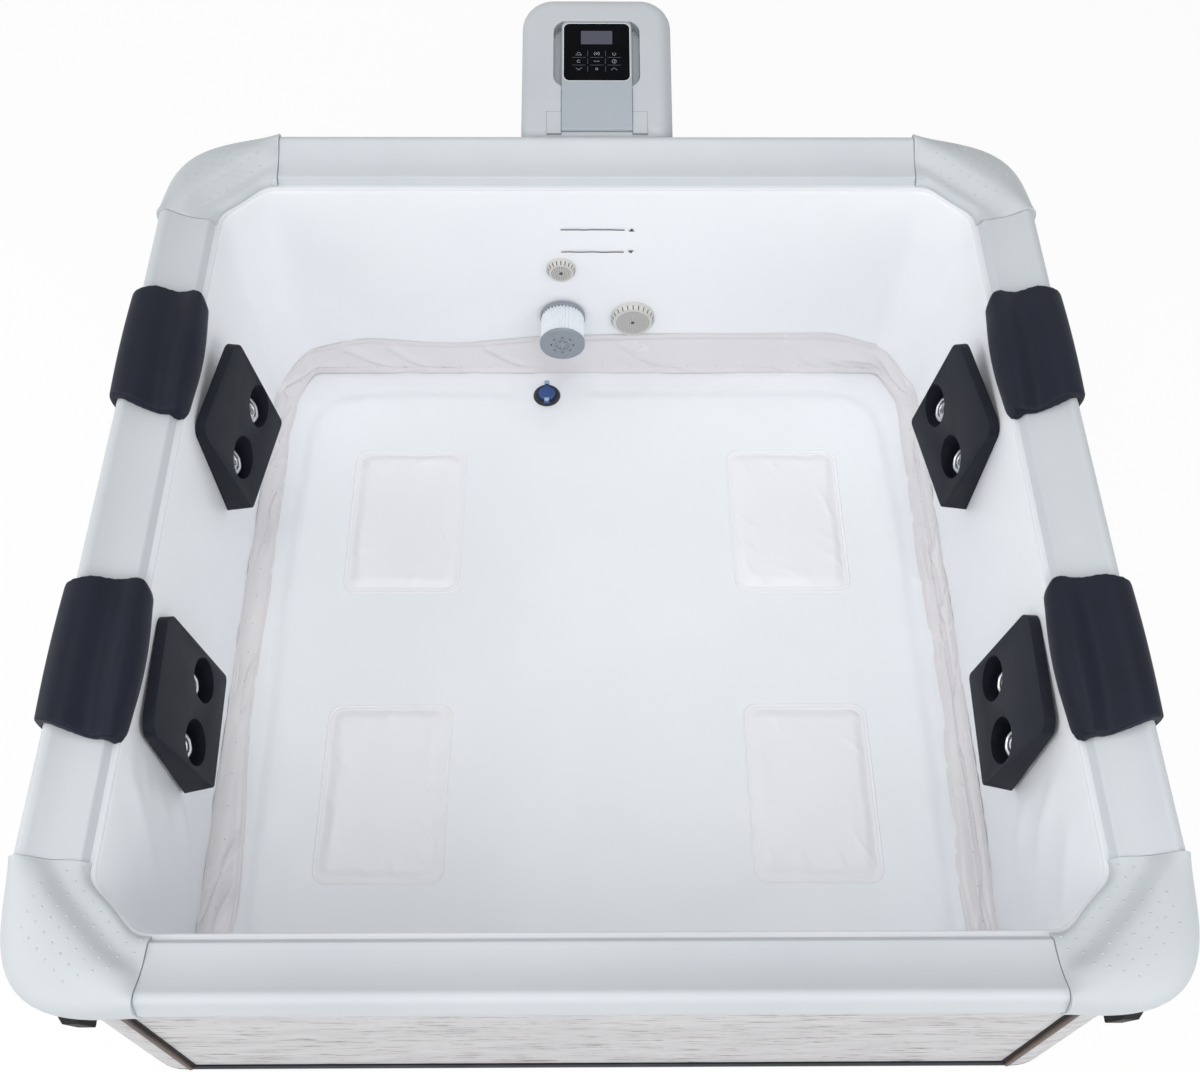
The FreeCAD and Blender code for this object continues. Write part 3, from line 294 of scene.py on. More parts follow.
FINISHES = {
    "rim": moulded("rim_plastic", (202, 207, 212), (195, 201, 206), 0.42),
    "cap": moulded("cap_plastic", (198, 204, 207), (191, 197, 201), 0.46, 600.0, 0.0003),
    "board": whitewashed_board(),
    "trim": dark_wood(),
    # Black strips beside the brown trims: a seal, its black also painted shade of the gap between trim and
    # board
    "seal": rubbery("seal_and_gap_shade", (20, 20, 22), (32, 31, 33), 0.6),
    "wall": vinyl("wall_vinyl", (247, 249, 252), (243, 245, 249), 0.42, 0.10),
    # Hem: the wall's vinyl greyed as painted shade, so its upward lit top reads as dim as the wall
    "hem": vinyl("hem_vinyl_painted_shade", (226, 229, 233), (220, 223, 228), 0.45, 0.05),
    "floor": vinyl("floor_vinyl", (243, 246, 249), (238, 242, 246), 0.40, 0.12),
    "seat": vinyl("seat_vinyl", (246, 246, 248), (240, 240, 243), 0.42, 0.14),
    "skirt": vinyl("skirt_vinyl", (235, 233, 235), (225, 222, 224), 0.20, 0.16),
    "mat": rubbery("mat_foam", (70, 74, 80), (84, 88, 94), 0.8),
    "headrest": rubbery("headrest_skin", (20, 23, 36), (25, 28, 42), 0.50, 0.0003),
    "pad": rubbery("pad_foam", (22, 25, 35), (28, 31, 41), 0.55, 0.0004),
    "jet": bright_metal("jet_metal", (238, 240, 242), (226, 229, 232), 0.48, 0.85),
    "nozzle": bright_metal("nozzle_metal", (244, 245, 247), (232, 234, 237), 0.44, 0.9),
    "pipe": moulded("pipe_plastic", (228, 230, 232), (216, 219, 222), 0.5),
    "grille": moulded("grille_plastic", (212, 211, 207), (203, 202, 198), 0.5),
    "pleats": pleated_paper(),
    "filter_cap": moulded("filter_cap_plastic", (146, 153, 163), (138, 145, 155), 0.45),
    "drain": moulded("drain_black", (24, 28, 40), (34, 38, 50), 0.4),
    "drain_cap": moulded("drain_blue", (46, 76, 132), (60, 92, 148), 0.35),
    "eyeball": bright_metal("eyeball_chrome", (206, 209, 212), (188, 191, 195), 0.26),
    # Dark grey of the grille holes and slots: painted shade in holes that are not cut
    "perforation": printed("perforation_painted_shade", (66, 66, 64), (80, 80, 77)),
    "strap": moulded("strap_blue", (150, 178, 204), (170, 194, 216), 0.3),
    "box": moulded("box_plastic", (196, 201, 206), (188, 194, 200), 0.46),
    "arm": moulded("arm_plastic", (172, 179, 187), (165, 173, 181), 0.44),
    "glass": dark_glass(),
    "steel": bright_metal("pin_steel", (190, 192, 196), (160, 164, 168), 0.3),
    "pump": moulded("pump_plastic", (48, 50, 54), (58, 60, 64), 0.55),
    "circuit": moulded("circuit_board", (30, 84, 52), (38, 98, 62), 0.5),
    "clip": rubbery("clip_black", (14, 14, 16), (22, 22, 24), 0.6),
    "ink": printed("level_ink", (52, 54, 60), (74, 76, 82)),
    "icon": printed("icon_white", (186, 190, 198), (168, 172, 180)),
    "hairline": printed("hairline_grey", (86, 89, 98), (102, 105, 114)),
    "screen": printed("screen_grey", (54, 58, 72), (60, 64, 78)),
    # Pale line round the glass: painted highlight of the arm's lit edge
    "edge_highlight": printed("edge_highlight", (232, 235, 238), (222, 226, 230)),
    # Dark grey of the gaps on the box: painted shade
    "seam": printed("seam_painted_shade", (74, 78, 84), (88, 92, 98)),
    "weld": printed("weld_beige", (222, 216, 218), (230, 225, 227)),
    # Dark dots of the skirt's pinholes: painted shade of the holes
    "pinhole": printed("pinhole_painted_shade", (120, 112, 112), (138, 130, 130)),
}

# Which finish each node of the model takes, by the start of its name
DRESS = (
    ("rim_rail", "rim"), ("rim_corner", "cap"), ("wall_panel", "board"), ("corner_post", "board"),
    ("edge_trims", "trim"), ("edge_seals", "seal"), ("base_mat", "mat"), ("jet_bodies", "jet"),
    ("jet_nozzle", "nozzle"), ("jet_pipes", "pipe"), ("wall_fittings", "pipe"), ("union_nuts", "pipe"),
    ("return_grille", "grille"), ("suction_grille", "grille"), ("filter_cartridge", "pleats"),
    ("filter_end_caps", "filter_cap"), ("drain_body", "drain"), ("drain_cap", "drain_cap"),
    ("box_", "box"), ("panel_arm", "arm"), ("display_glass", "glass"), ("hinge_covers", "box"),
    ("hinge_pin", "steel"), ("filter_pump", "pump"), ("massage_pump", "pump"), ("heater", "steel"),
    ("control_board", "circuit"), ("cover_clips", "clip"), ("liner_wall", "wall"),
    ("liner_floor", "floor"), ("liner_skirt", "skirt"), ("seat_pads", "seat"),
    ("headrest", "headrest"), ("massage_pad", "pad"),
)


def dress_nodes():
    for name, thing in NODES.items():
        finish = next(f for start, f in DRESS if name.startswith(start))
        thing.data.materials.clear()
        thing.data.materials.append(FINISHES[finish].material)


# Pieces

def new_piece(name, points, faces, finish, body="tub"):
    """A smooth mesh that rides on a body."""
    mesh = bpy.data.meshes.new(name)
    mesh.from_pydata([tuple(p) for p in points], [], faces)
    mesh.validate()
    thing = add_object(name, mesh)
    finished(thing, finish, body)
    return thing


def finished(thing, finish, body):
    thing.data.materials.clear()
    thing.data.materials.append(FINISHES[finish].material)
    thing.data.shade_smooth()
    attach(thing, body)


def settle(thing):
    """Give a piece its modified mesh and take its modifiers away."""
    graph = bpy.context.evaluated_depsgraph_get()
    mesh = bpy.data.meshes.new_from_object(thing.evaluated_get(graph))
    thing.modifiers.clear()
    thing.data = mesh


def lattice(rows, columns, start=0):
    """Faces of a grid of points stored row by row, its last column joined to its first."""
    faces = []
    for r in range(rows - 1):
        row = start + r * columns
        for c in range(columns):
            d = (c + 1) % columns
            faces.append((row + c, row + d, row + columns + d, row + columns + c))
    return faces


def thicken(thing, thickness):
    """Give a sheet its thickness, on the side away from the bather."""
    solid = thing.modifiers.new("thickness", "SOLIDIFY")
    solid.thickness = thickness
    solid.offset = -1.0


# Liner: wall, cove skirt, floor and seats

def octagon(half):
    """Corners of a square with cut corners, anticlockwise from the front side."""
    cut = half - CORNER_LEG
    return [Vector(p) for p in (
        (-cut, -half), (cut, -half), (half, -cut), (half, cut),
        (cut, half), (-cut, half), (-half, cut), (-half, -cut),
    )]


def walk_round(half, stride, eased, fine=0.004):
    """Points along the octagon and the direction inwards at each, corners eased over a length."""
    corners = octagon(half)
    line = []
    for a, b in zip(corners, corners[1:] + corners[:1]):
        count = round((b - a).length / fine)
        line += [a.lerp(b, k / count) for k in range(count)]
    reach = int(eased / fine / 2)
    count = len(line)
    soft = []
    for k in range(count):
        near = [line[(k + j) % count] for j in range(-reach, reach + 1)]
        soft.append(sum(near, Vector((0.0, 0.0))) / len(near))
    step = round(stride / fine)
    places = soft[::step]
    found = []
    for k, here in enumerate(places):
        along = (places[(k + 1) % len(places)] - places[k - 1]).normalized()
        found.append((here, Vector((-along.y, along.x))))
    return found


WALL_CORNERS = octagon(FACE)


def from_corner(x, y):
    """Distance from a vertical line at an inside corner of the octagon."""
    return min(math.hypot(x - corner.x, y - corner.y) for corner in WALL_CORNERS)


def fitting_places():
    """Middle and radius of everything that is clamped to the wall liner."""
    nodes = ["massage_pad_" + corner for corner in CORNERS]
    nodes += ["return_grille", "suction_grille", "filter_cartridge"]
    return [(middle_of(node), 0.5 * (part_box(node)[1][2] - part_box(node)[0][2])) for node in nodes]


# Folds that hang from the front massage pads, as (y, z) of both ends, half width and height
WALL_FOLDS = {
    -1: (((-0.470, 0.500), (-0.515, 0.440), 0.011, 0.007), ((-0.485, 0.400), (-0.505, 0.330), 0.013, 0.008),
         ((-0.460, 0.290), (-0.520, 0.190), 0.020, 0.008), ((-0.520, 0.560), (-0.640, 0.330), 0.030, 0.006)),
    1: (((-0.455, 0.430), (-0.500, 0.360), 0.010, 0.007), ((-0.470, 0.350), (-0.545, 0.230), 0.022, 0.008),
        ((-0.500, 0.480), (-0.600, 0.330), 0.024, 0.007), ((-0.610, 0.520), (-0.720, 0.420), 0.030, 0.006)),
}


def hung_fold(x, y, z):
    """Height of the folds below the front massage pads."""
    height = 0.0
    for start, end, width, high in WALL_FOLDS[1 if x > 0.0 else -1]:
        run = Vector((end[0] - start[0], end[1] - start[1]))
        off = Vector((y - start[0], z - start[1]))
        share = off.dot(run) / run.length_squared
        bow = 0.25 * width * math.sin(3.0 * share)
        aside = (off.x * run.y - off.y * run.x) / run.length + bow
        along = ease(-0.25, 0.25, share) * ease(1.35, 0.6, share)
        height += high * along * math.exp(-(aside / width) ** 2)
    return height


def wall_stand(place, fittings):
    """How far the wall liner stands off its frame: swells, folds at corners and near the floor."""
    x, y, z = place
    calm = 1.0
    for middle, radius in fittings:
        calm = min(calm, ease(radius, radius + 0.09, (Vector(place) - middle).length))
    corner = ease(0.30, 0.02, from_corner(x, y))
    low = ease(0.34, 0.08, z)
    side = ease(0.60, 0.76, abs(x))
    swell = 0.5 + 0.5 * ripple(2.6 * x, 2.6 * y, 3.1 * z + 4.0)
    slant = crease(8.0 * x + 3.0 * z, 8.0 * y + 3.0 * z, 2.6 * z + 1.3)
    fold = crease(17.0 * x, 17.0 * y - 5.0 * z, 4.0 * z + 9.0, 0.3)
    stand = 0.0016 * swell + 0.0035 * slant * (0.15 + 0.5 * corner + 0.5 * low * side)
    stand += 0.0030 * fold * (0.7 * low * side + 0.5 * corner)
    if abs(x) > FACE - 0.004 and y < -0.40:
        stand += hung_fold(x, y, z)
    top = ease(WALL_HIGH, WALL_HIGH - 0.06, z)
    return stand * calm * (0.3 + 0.7 * top)


def make_wall_liner():
    fittings = fitting_places()
    ring = walk_round(FACE, 0.012, 0.05)
    rows = 52
    points = []
    for r in range(rows):
        z = blend(WALL_LOW, WALL_HIGH - HEM_ROUND, r / (rows - 1))
        for here, inward in ring:
            stand = wall_stand((here.x, here.y, z), fittings)
            points.append((here.x + inward.x * stand, here.y + inward.y * stand, z))
    turns = [math.pi * k / 10 for k in range(1, 6)]
    hem = [(HEM_ROUND * (1.0 - math.cos(t)), WALL_HIGH - HEM_ROUND * (1.0 - math.sin(t))) for t in turns]
    hem += [(0.5 * HEM, WALL_HIGH), (HEM, WALL_HIGH)]
    for out, z in hem:
        points += [(here.x - inward.x * out, here.y - inward.y * out, z) for here, inward in ring]
    faces = lattice(rows + len(hem), len(ring))
    wall = new_piece("wall_liner", points, faces, "wall")
    wall.data.flip_normals()
    # Faces of the hem take the greyed vinyl: painted shade on its lit top
    wall.data.materials.append(FINISHES["hem"].material)
    for face in wall.data.polygons[(rows - 1) * len(ring):]:
        face.material_index = 1
    thicken(wall, LINER)
    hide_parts("liner_wall")


def skirt_line(x, y):
    """Foot along the floor and top on the wall of the cove skirt, at a place on the octagon."""
    wave = ripple(4.2 * x, 4.2 * y, 0.6)
    back = ease(FACE - CORNER_LEG, FACE - 0.004, y)
    sag = 0.030 * math.exp(-((x + 0.36) / 0.17) ** 2)
    back_top = 0.150 + 0.010 * x - sag - 0.052 * ease(0.55, 0.76, abs(x)) + 0.004 * wave
    side_top = 0.060 + 0.014 * wave - 0.022 * ease(-0.30, -0.70, y)
    side_foot = 0.048 + 0.009 * ripple(6.0 * x, 6.0 * y, 3.7) + 0.016 * ease(-0.10, -0.55, y)
    foot = blend(side_foot, 0.014, back)
    return foot, blend(side_top, back_top, back)


def skirt_point(here, inward, share):
    """Point of the skirt from its top edge (0) to its foot (1), with its folds."""
    foot, top = skirt_line(here.x, here.y)
    rise = top - FLOOR
    legs = ((0.0030, top), (0.0055, FLOOR + 0.30 * rise), (0.30 * foot, FLOOR + 0.006), (foot, FLOOR + 0.0025))
    t, u = share, 1.0 - share
    weights = (u * u * u, 3 * u * u * t, 3 * u * t * t, t * t * t)
    out = sum(w * leg[0] for w, leg in zip(weights, legs))
    z = sum(w * leg[1] for w, leg in zip(weights, legs))
    body = ease(0.0, 0.14, share) * ease(1.0, 0.86, share)
    shift = 0.20 * share
    x, y = here.x + shift * inward.y, here.y - shift * inward.x
    swell = 0.5 + 0.5 * ripple(4.5 * x, 4.5 * y, 1.1 * share + 2.2)
    slant = crease(6.0 * x, 6.0 * y, 0.5 * share + 7.4, 0.22)
    stand = body * (0.0060 * swell + 0.0085 * slant)
    right = ease(FACE - 0.05, FACE, here.x) * ease(0.76, 0.55, abs(here.y + 0.1))
    for middle, width, high, seed in ((0.30, 0.10, 0.010, 1.7), (0.58, 0.13, 0.009, 4.9)):
        aside = abs(share - middle - 0.10 * ripple(3.0 * here.y, 0.0, seed)) / width
        stand += right * high * max(0.0, 1.0 - aside) ** 1.5 * (0.65 + 0.5 * ripple(5.0 * here.y, 2.0, seed))
    weld = math.exp(-((share - 0.06) / 0.012) ** 2) + math.exp(-((share - 0.94) / 0.012) ** 2)
    stand += 0.0012 * weld
    steep = ease(0.85, 0.35, share)
    return Vector((here.x + inward.x * (out + stand * steep), here.y + inward.y * (out + stand * steep),
                   z + stand * (1.0 - steep)))


SKIRT_LIFT = 0.0005      # welds and pinholes above the skirt
PINHOLE = 0.0011         # radius


def make_skirt():
    ring = walk_round(FACE, 0.008, 0.045)
    shares = [k * 0.016 for k in range(9)] + [0.128 + k * 0.031 for k in range(1, 24)]
    shares += [1.0 - k * 0.016 for k in range(8, -1, -1)]
    points = [skirt_point(here, inward, share) for share in shares for here, inward in ring]
    skirt = new_piece("cove_skirt", points, lattice(len(shares), len(ring)), "skirt")
    thicken(skirt, SKIRT_LINER)
    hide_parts("liner_skirt")
    points, faces = [], []
    for edge in (0.012, 0.060, 0.940, 0.988):
        start = len(points)
        for share in (edge - 0.006, edge + 0.006):
            points += [skirt_point(here, inward, share) + SKIRT_LIFT * Vector((inward.x, inward.y, 1.0))
                       for here, inward in ring]
        faces += lattice(2, len(ring), start)
    new_piece("skirt_welds", points, faces, "weld")
    # Pinholes drawn as small dark discs on the skirt: painted shade of holes that are not cut
    holes, faces = [], []
    for here, inward in ring[::9]:
        middle = skirt_point(here, inward, 0.62)
        across = skirt_point(here, inward, 0.65) - middle
        along = Vector((inward.y, -inward.x, 0.0))
        out = along.cross(across).normalized()
        if out.z < 0.0:
            out.negate()
        down = across.normalized()
        faces.append(tuple(range(len(holes), len(holes) + 8)))
        holes += circle(middle + SKIRT_LIFT * out, along, down, PINHOLE, 8)
    new_piece("skirt_pinholes", holes, faces, "pinhole")


def wall_distance(x, y):
    """Distance of a place on the floor from the walls, rounded in the corners."""
    gaps = (FACE - abs(x), FACE - abs(y), (2 * FACE - CORNER_LEG - abs(x) - abs(y)) / math.sqrt(2.0))
    soft = 0.030
    return -soft * math.log(sum(math.exp(-gap / soft) for gap in gaps))


SEAT = (0.272, 0.400)
SEAT_ROUND = 0.030
SEAT_LIFT = 0.0095
SEAT_REACH = [side - size / 2 for side, size in zip(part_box("seat_pads")[1], SEAT)]
SEATS = [Vector((sx * SEAT_REACH[0], sy * SEAT_REACH[1])) for sx in (-1, 1) for sy in (-1, 1)]


def seat_distance(x, y):
    """Distance outside the nearest seat pad's outline, 0 inside it."""
    found = 9.0
    for middle in SEATS:
        dx = max(0.0, abs(x - middle.x) - SEAT[0] / 2)
        dy = max(0.0, abs(y - middle.y) - SEAT[1] / 2)
        found = min(found, math.hypot(dx, dy))
    return found


def floor_height(x, y, drain, drain_radius):
    """Height of the floor liner: raised middle, slack folds at the edge, dip round the drain."""
    away = wall_distance(x, y) + 0.010 * ripple(3.4 * x, 3.4 * y, 0.3)
    panel = ease(PANEL_INSET - PANEL_STEP, PANEL_INSET + PANEL_STEP, away)
    border = ease(PANEL_INSET + 0.10, PANEL_INSET - 0.02, away)
    near_drain = (Vector((x, y)) - drain).length
    dip = ease(drain_radius + 0.10, drain_radius + 0.004, near_drain)
    calm = ease(0.0, 0.04, seat_distance(x, y)) * ease(drain_radius, drain_radius + 0.03, near_drain)
    fold = crease(6.5 * x, 6.5 * y, 2.0, 0.30)
    small = crease(15.0 * x, 15.0 * y, 5.0, 0.30)
    height = PANEL_RISE * panel * (1.0 - dip)
    height += calm * border * (0.0030 * fold + 0.0012 * small)
    height += calm * 0.0016 * crease(2.6 * x, 2.6 * y, 8.0, 0.22)
    turn = math.atan2(y - drain.y, x - drain.x)
    pucker = ease(drain_radius + 0.09, drain_radius + 0.02, near_drain) * calm
    height += 0.0010 * pucker * (1.0 + math.sin(9.0 * turn + 2.0 * math.sin(2.0 * turn)))
    return FLOOR - 0.0002 + height * ease(0.004, 0.02, wall_distance(x, y))


def make_floor():
    """Floor sheet on rings that follow the walls, closed in the middle."""
    low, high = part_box("drain_body")
    drain = middle_of("drain_body").to_2d()
    radius = (high[0] - low[0]) / 2
    ring = [here for here, _ in walk_round(FACE - 0.001, 0.012, 0.03)]
    rings = 74
    points = []
    for r in range(rings):
        share = 1.0 - r / rings
        for here in ring:
            spot = here * share
            points.append((spot.x, spot.y, floor_height(spot.x, spot.y, drain, radius)))
    faces = lattice(rings, len(ring))
    points.append((0.0, 0.0, floor_height(0.0, 0.0, drain, radius)))
    last = (rings - 1) * len(ring)
    faces += [(last + k, last + (k + 1) % len(ring), len(points) - 1) for k in range(len(ring))]
    floor = new_piece("floor_liner", points, faces, "floor")
    thicken(floor, LINER)
    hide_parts("liner_floor")


def seat_ring(inset, count):
    """Points round a seat pad's outline moved in by inset."""
    half_x, half_y = SEAT[0] / 2 - inset, SEAT[1] / 2 - inset
    corner = max(0.004, SEAT_ROUND - 0.6 * inset)
    points = []
    for sx, sy, start in ((1, 1, 0.0), (-1, 1, 0.5), (-1, -1, 1.0), (1, -1, 1.5)):
        for k in range(count // 4):
            turn = math.pi * (start + 0.5 * k / (count // 4 - 1))
            points.append(Vector((sx * (half_x - corner) + corner * math.cos(turn),
                                  sy * (half_y - corner) + corner * math.sin(turn))))
    return evenly(points, count)


def evenly(loop, count):
    """The closed loop again, with count points at even steps."""
    lengths = [(loop[(k + 1) % len(loop)] - loop[k]).length for k in range(len(loop))]
    total = sum(lengths)
    found, at, passed = [], 0, 0.0
    for k in range(count):
        target = total * k / count
        while passed + lengths[at] < target:
            passed += lengths[at]
            at += 1
        share = (target - passed) / lengths[at] if lengths[at] else 0.0
        found.append(loop[at].lerp(loop[(at + 1) % len(loop)], share))
    return found


def seat_height(inset, x, y):
    """Welded double line at the edge, then a soft slope up to the crown, a little slack."""
    weld = 0.0020 * math.exp(-((inset - 0.0025) / 0.0016) ** 2)
    weld += 0.0016 * math.exp(-((inset - 0.0095) / 0.0018) ** 2)
    slope = ease(0.010, 0.036 + 0.012 * ripple(9.0 * x, 9.0 * y, 1.0), inset)
    slack = 0.0034 * crease(13.0 * x + 5.0 * y, 8.0 * y, 3.0, 0.26) * ease(0.085, 0.03, inset)
    slack *= ease(0.011, 0.022, inset)
    crown = 0.0016 * ripple(4.0 * x, 4.0 * y, 6.0)
    return weld + SEAT_LIFT * slope + slack + crown * slope


def make_seats():
    count = 176
    insets = [0.0, 0.0012, 0.0025, 0.0038, 0.0055, 0.0075, 0.0095, 0.0115]
    insets += [0.0115 + 0.0045 * k for k in range(1, 12)]
    insets += [0.061 + 0.0105 * k for k in range(1, 6)]
    points, faces = [], []
    for middle in SEATS:
        start = len(points)
        for inset in insets:
            for spot in seat_ring(inset, count):
                x, y = middle.x + spot.x, middle.y + spot.y
                z = FLOOR + PANEL_RISE - 0.0004 + seat_height(inset, x, y)
                points.append((x, y, z))
        faces += lattice(len(insets), count, start)
        last = start + (len(insets) - 1) * count
        faces.append(tuple(range(last, last + count)))
        foot = len(points)
        for spot in seat_ring(0.0, count):
            points.append((middle.x + spot.x, middle.y + spot.y, FLOOR + 0.0006))
        faces += [(foot + k, foot + (k + 1) % count, start + (k + 1) % count, start + k) for k in range(count)]
        faces.append(tuple(range(foot + count - 1, foot - 1, -1)))
    seats = new_piece("seat_cushions", points, faces, "seat")
    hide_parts("seat_pads")


# Headrests and massage pads

HEAD_LENGTH = 0.330
HEAD_SHARE = (0.0215, 0.85)   # inner lip beyond the rail at the middle, and the share lost at the ends
HEAD_VOXEL = 0.0032
RAIL_EDGE = 0.647        # height of a rail's inner edge
HEAD_CORNER = (0.056, 0.030)   # rounding of the node's inner corners, and of the cushion's


def corner_cut(out, radius):
    """How much a rounded corner takes off the length, at a distance from the inner edge."""
    rest = max(0.0, radius - out)
    return radius - math.sqrt(radius * radius - min(rest, radius) ** 2)


def head_form(along, out, z, rail):
    """Place on a headrest after shaping: bowed inner edge, fuller corners, waved top."""
    share = 2 * along / HEAD_LENGTH
    fuller = corner_cut(out, HEAD_CORNER[0]) - corner_cut(out, HEAD_CORNER[1])
    along += math.copysign(fuller * ease(0.55, 0.95, abs(share)), along)
    lip = max(0.0, HEAD_SHARE[0] - out)
    crown = ease(0.006, 0.016, z - rail)
    wave = 0.004 * math.exp(-((out - 0.030) / 0.016) ** 2) - 0.006 * math.exp(-((out - 0.066) / 0.022) ** 2)
    return along, out + HEAD_SHARE[1] * share * share * lip * lip / (lip + 0.006), z + crown * wave


def make_headrests():
    """Foam headrests: the saddle form of the node, softened, with a waved top and bowed inner edge."""
    rail_low, rail_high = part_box("rim_rail_right")
    for corner in CORNERS:
        node = NODES["headrest_" + corner]
        rest = add_object("head_cushion_" + corner, node.data.copy())
        remesh = rest.modifiers.new("skin", "REMESH")
        remesh.mode = "VOXEL"
        remesh.voxel_size = HEAD_VOXEL
        soften = rest.modifiers.new("soften", "SMOOTH")
        soften.factor = 0.5
        soften.iterations = 5
        settle(rest)
        low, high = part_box("headrest_" + corner)
        inner = min(abs(low[0]), abs(high[0]))
        middle = (low[1] + high[1]) / 2
        for vertex in rest.data.vertices:
            place = vertex.co
            out = abs(place.x) - inner
            lift = ease(rail_low[0], rail_high[0] - 0.016, abs(place.x))
            rail = blend(RAIL_EDGE, rail_high[2], lift * lift)
            along, out, z = head_form(place.y - middle, out, place.z, rail)
            vertex.co = (math.copysign(inner + out, place.x), middle + along, z)
        finished(rest, "headrest", "headrest_" + corner)
        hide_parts("headrest_" + corner)


PAD = (0.236, 0.306)     # width and height
PAD_THICK = (0.020, 0.060)   # at the top and at the bottom
PAD_SKEW = 0.026         # the lower face rises this much to the front
PAD_HOLE = 0.088
PAD_TILT = math.radians(27.0)   # windows rise to the bather
PAD_ROUND = (0.012, 0.030)   # lower and upper corners of the outline
PAD_TURN = {"front": 2.0, "back": 9.0}   # degrees off the wall
PAD_EDGE = 0.0075        # rounding of the edges


def pad_outline(steps=8):
    """Outline of a pad across its width and up its height."""
    half = PAD[0] / 2
    points = []
    for cx, cz, radius, start in (
        (half - PAD_ROUND[0], PAD_ROUND[0], PAD_ROUND[0], -0.5),
        (half - PAD_ROUND[1], PAD[1] - PAD_ROUND[1], PAD_ROUND[1], 0.0),
        (-half + PAD_ROUND[1], PAD[1] - PAD_ROUND[1], PAD_ROUND[1], 0.5),
        (-half + PAD_ROUND[0], PAD_ROUND[0], PAD_ROUND[0], 1.0),
    ):
        for k in range(steps + 1):
            turn = math.pi * (start + 0.5 * k / steps)
            points.append((cx + radius * math.cos(turn), cz + radius * math.sin(turn)))
    return points


def pad_body():
    """Leaning wedge, its back on the plane x = 0 and its middle at y = 0."""
    outline = pad_outline()
    points, faces = [], []
    for y, z in outline:
        points.append((0.0, y, z))
    for y, z in outline:
        share = z / PAD[1]
        points.append((blend(PAD_THICK[1], PAD_THICK[0], share), y, blend(PAD_SKEW, PAD[1], share)))
    count = len(outline)
    faces.append(tuple(range(count - 1, -1, -1)))
    faces.append(tuple(range(count, 2 * count)))
    faces += [(k, (k + 1) % count, count + (k + 1) % count, count + k) for k in range(count)]
    return points, faces


def window_cutter(y, z):
    """Round bar that rises from a jet on the left wall, to cut a window."""
    made = bmesh.new()
    bmesh.ops.create_cone(
        made, cap_ends=True, segments=72, radius1=PAD_HOLE / 2, radius2=PAD_HOLE / 2, depth=0.4,
        matrix=Matrix.Translation((-FACE, y, z)) @ Matrix.Rotation(math.pi / 2 - PAD_TILT, 4, "Y"),
    )
    mesh = bpy.data.meshes.new("window_cutter")
    made.to_mesh(mesh)
    made.free()
    return add_object("window_cutter", mesh)


def make_massage_pads():
    jets = [middle_of("jet_nozzle_left_%d" % k) for k in (1, 2, 3, 4)]
    for row, along in (("front", -1.0), ("back", 1.0)):
        low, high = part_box("massage_pad_%s_left" % row)
        points, faces = pad_body()
        hinge = Matrix.Translation((0.0, -along * PAD[0] / 2, 0.0))
        turn = hinge @ Matrix.Rotation(-along * math.radians(PAD_TURN[row]), 4, "Z") @ hinge.inverted()
        placed = [turn @ Vector(p) for p in points]
        own_low = Vector([min(p[i] for p in placed) for i in range(3)])
        own_high = Vector([max(p[i] for p in placed) for i in range(3)])
        shift = (Vector(low) + Vector(high) - own_low - own_high) / 2
        pad = new_piece("wedge_" + row + "_left", [p + shift for p in placed], faces, "pad")
        cutters = [window_cutter(jet.y, jets[0].z) for jet in jets if low[1] < jet.y < high[1]]
        for cutter in cutters:
            cut = pad.modifiers.new("window", "BOOLEAN")
            cut.object = cutter
            cut.solver = "EXACT"
        edge = pad.modifiers.new("edge", "BEVEL")
        edge.width = PAD_EDGE
        edge.segments = 4
        edge.limit_method = "ANGLE"
        edge.angle_limit = math.radians(32.0)
        settle(pad)
        for cutter in cutters:
            bpy.data.objects.remove(cutter)
        smooth_by_angle(pad, 35.0)
        twin = add_object("wedge_" + row + "_right", pad.data.copy())
        twin.data.transform(Matrix.Scale(-1.0, 4, (1.0, 0.0, 0.0)))
        twin.data.flip_normals()
        for side, thing in (("left", pad), ("right", twin)):
            finished(thing, "pad", "tub")
            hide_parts("massage_pad_%s_%s" % (row, side))


def smooth_by_angle(thing, degrees):
    """Keep edges sharper than that angle crisp."""
    made = bmesh.new()
    made.from_mesh(thing.data)
    for edge in made.edges:
        if len(edge.link_faces) == 2 and edge.calc_face_angle() > math.radians(degrees):
            edge.smooth = False
    made.to_mesh(thing.data)
    made.free()


# Marks: grip nubs on the caps, water lines, control panel

NUB = (0.0025, 0.0014)   # radius and height
NUB_PITCH = 0.0225


def make_nubs():
    """Small raised dots in staggered rows over the middle of each corner cap."""
    for corner in CORNERS:
        node = NODES["rim_corner_" + corner]
        mesh = node.data
        tree = BVHTree.FromPolygons([v.co for v in mesh.vertices], [p.vertices for p in mesh.polygons])
        sx = -1.0 if corner.endswith("left") else 1.0
        sy = -1.0 if corner.startswith("front") else 1.0
        out = Vector((sx, sy, 0.0)).normalized()
        along = Vector((-sy, sx, 0.0)).normalized()
        middle = Vector((sx * FACE, sy * FACE, 0.0))
        points, faces = [], []
        for row in range(-5, 4):
            reach = 4 if row < 2 else 3
            for column in range(-reach, reach + 1):
                shift = 0.5 * (row % 2)
                aside = (column + shift) * NUB_PITCH
                if abs(aside) > (reach + 0.01) * NUB_PITCH:
                    continue
                spot = middle + out * (row * 0.85 * NUB_PITCH) + along * aside
                lean = 0.9 * ease(0.03, 0.12, row * 0.85 * NUB_PITCH)
                ray = (Vector((0.0, 0.0, -1.0)) - lean * out).normalized()
                start = Vector((spot.x, spot.y, 0.66)) - ray * 0.4
                hit, normal, _, _ = tree.ray_cast(start, ray, 0.8)
                if hit is not None:
                    add_nub(points, faces, hit, normal if normal.dot(ray) < 0.0 else -normal)
        new_piece("grip_nubs_" + corner, points, faces, "cap")


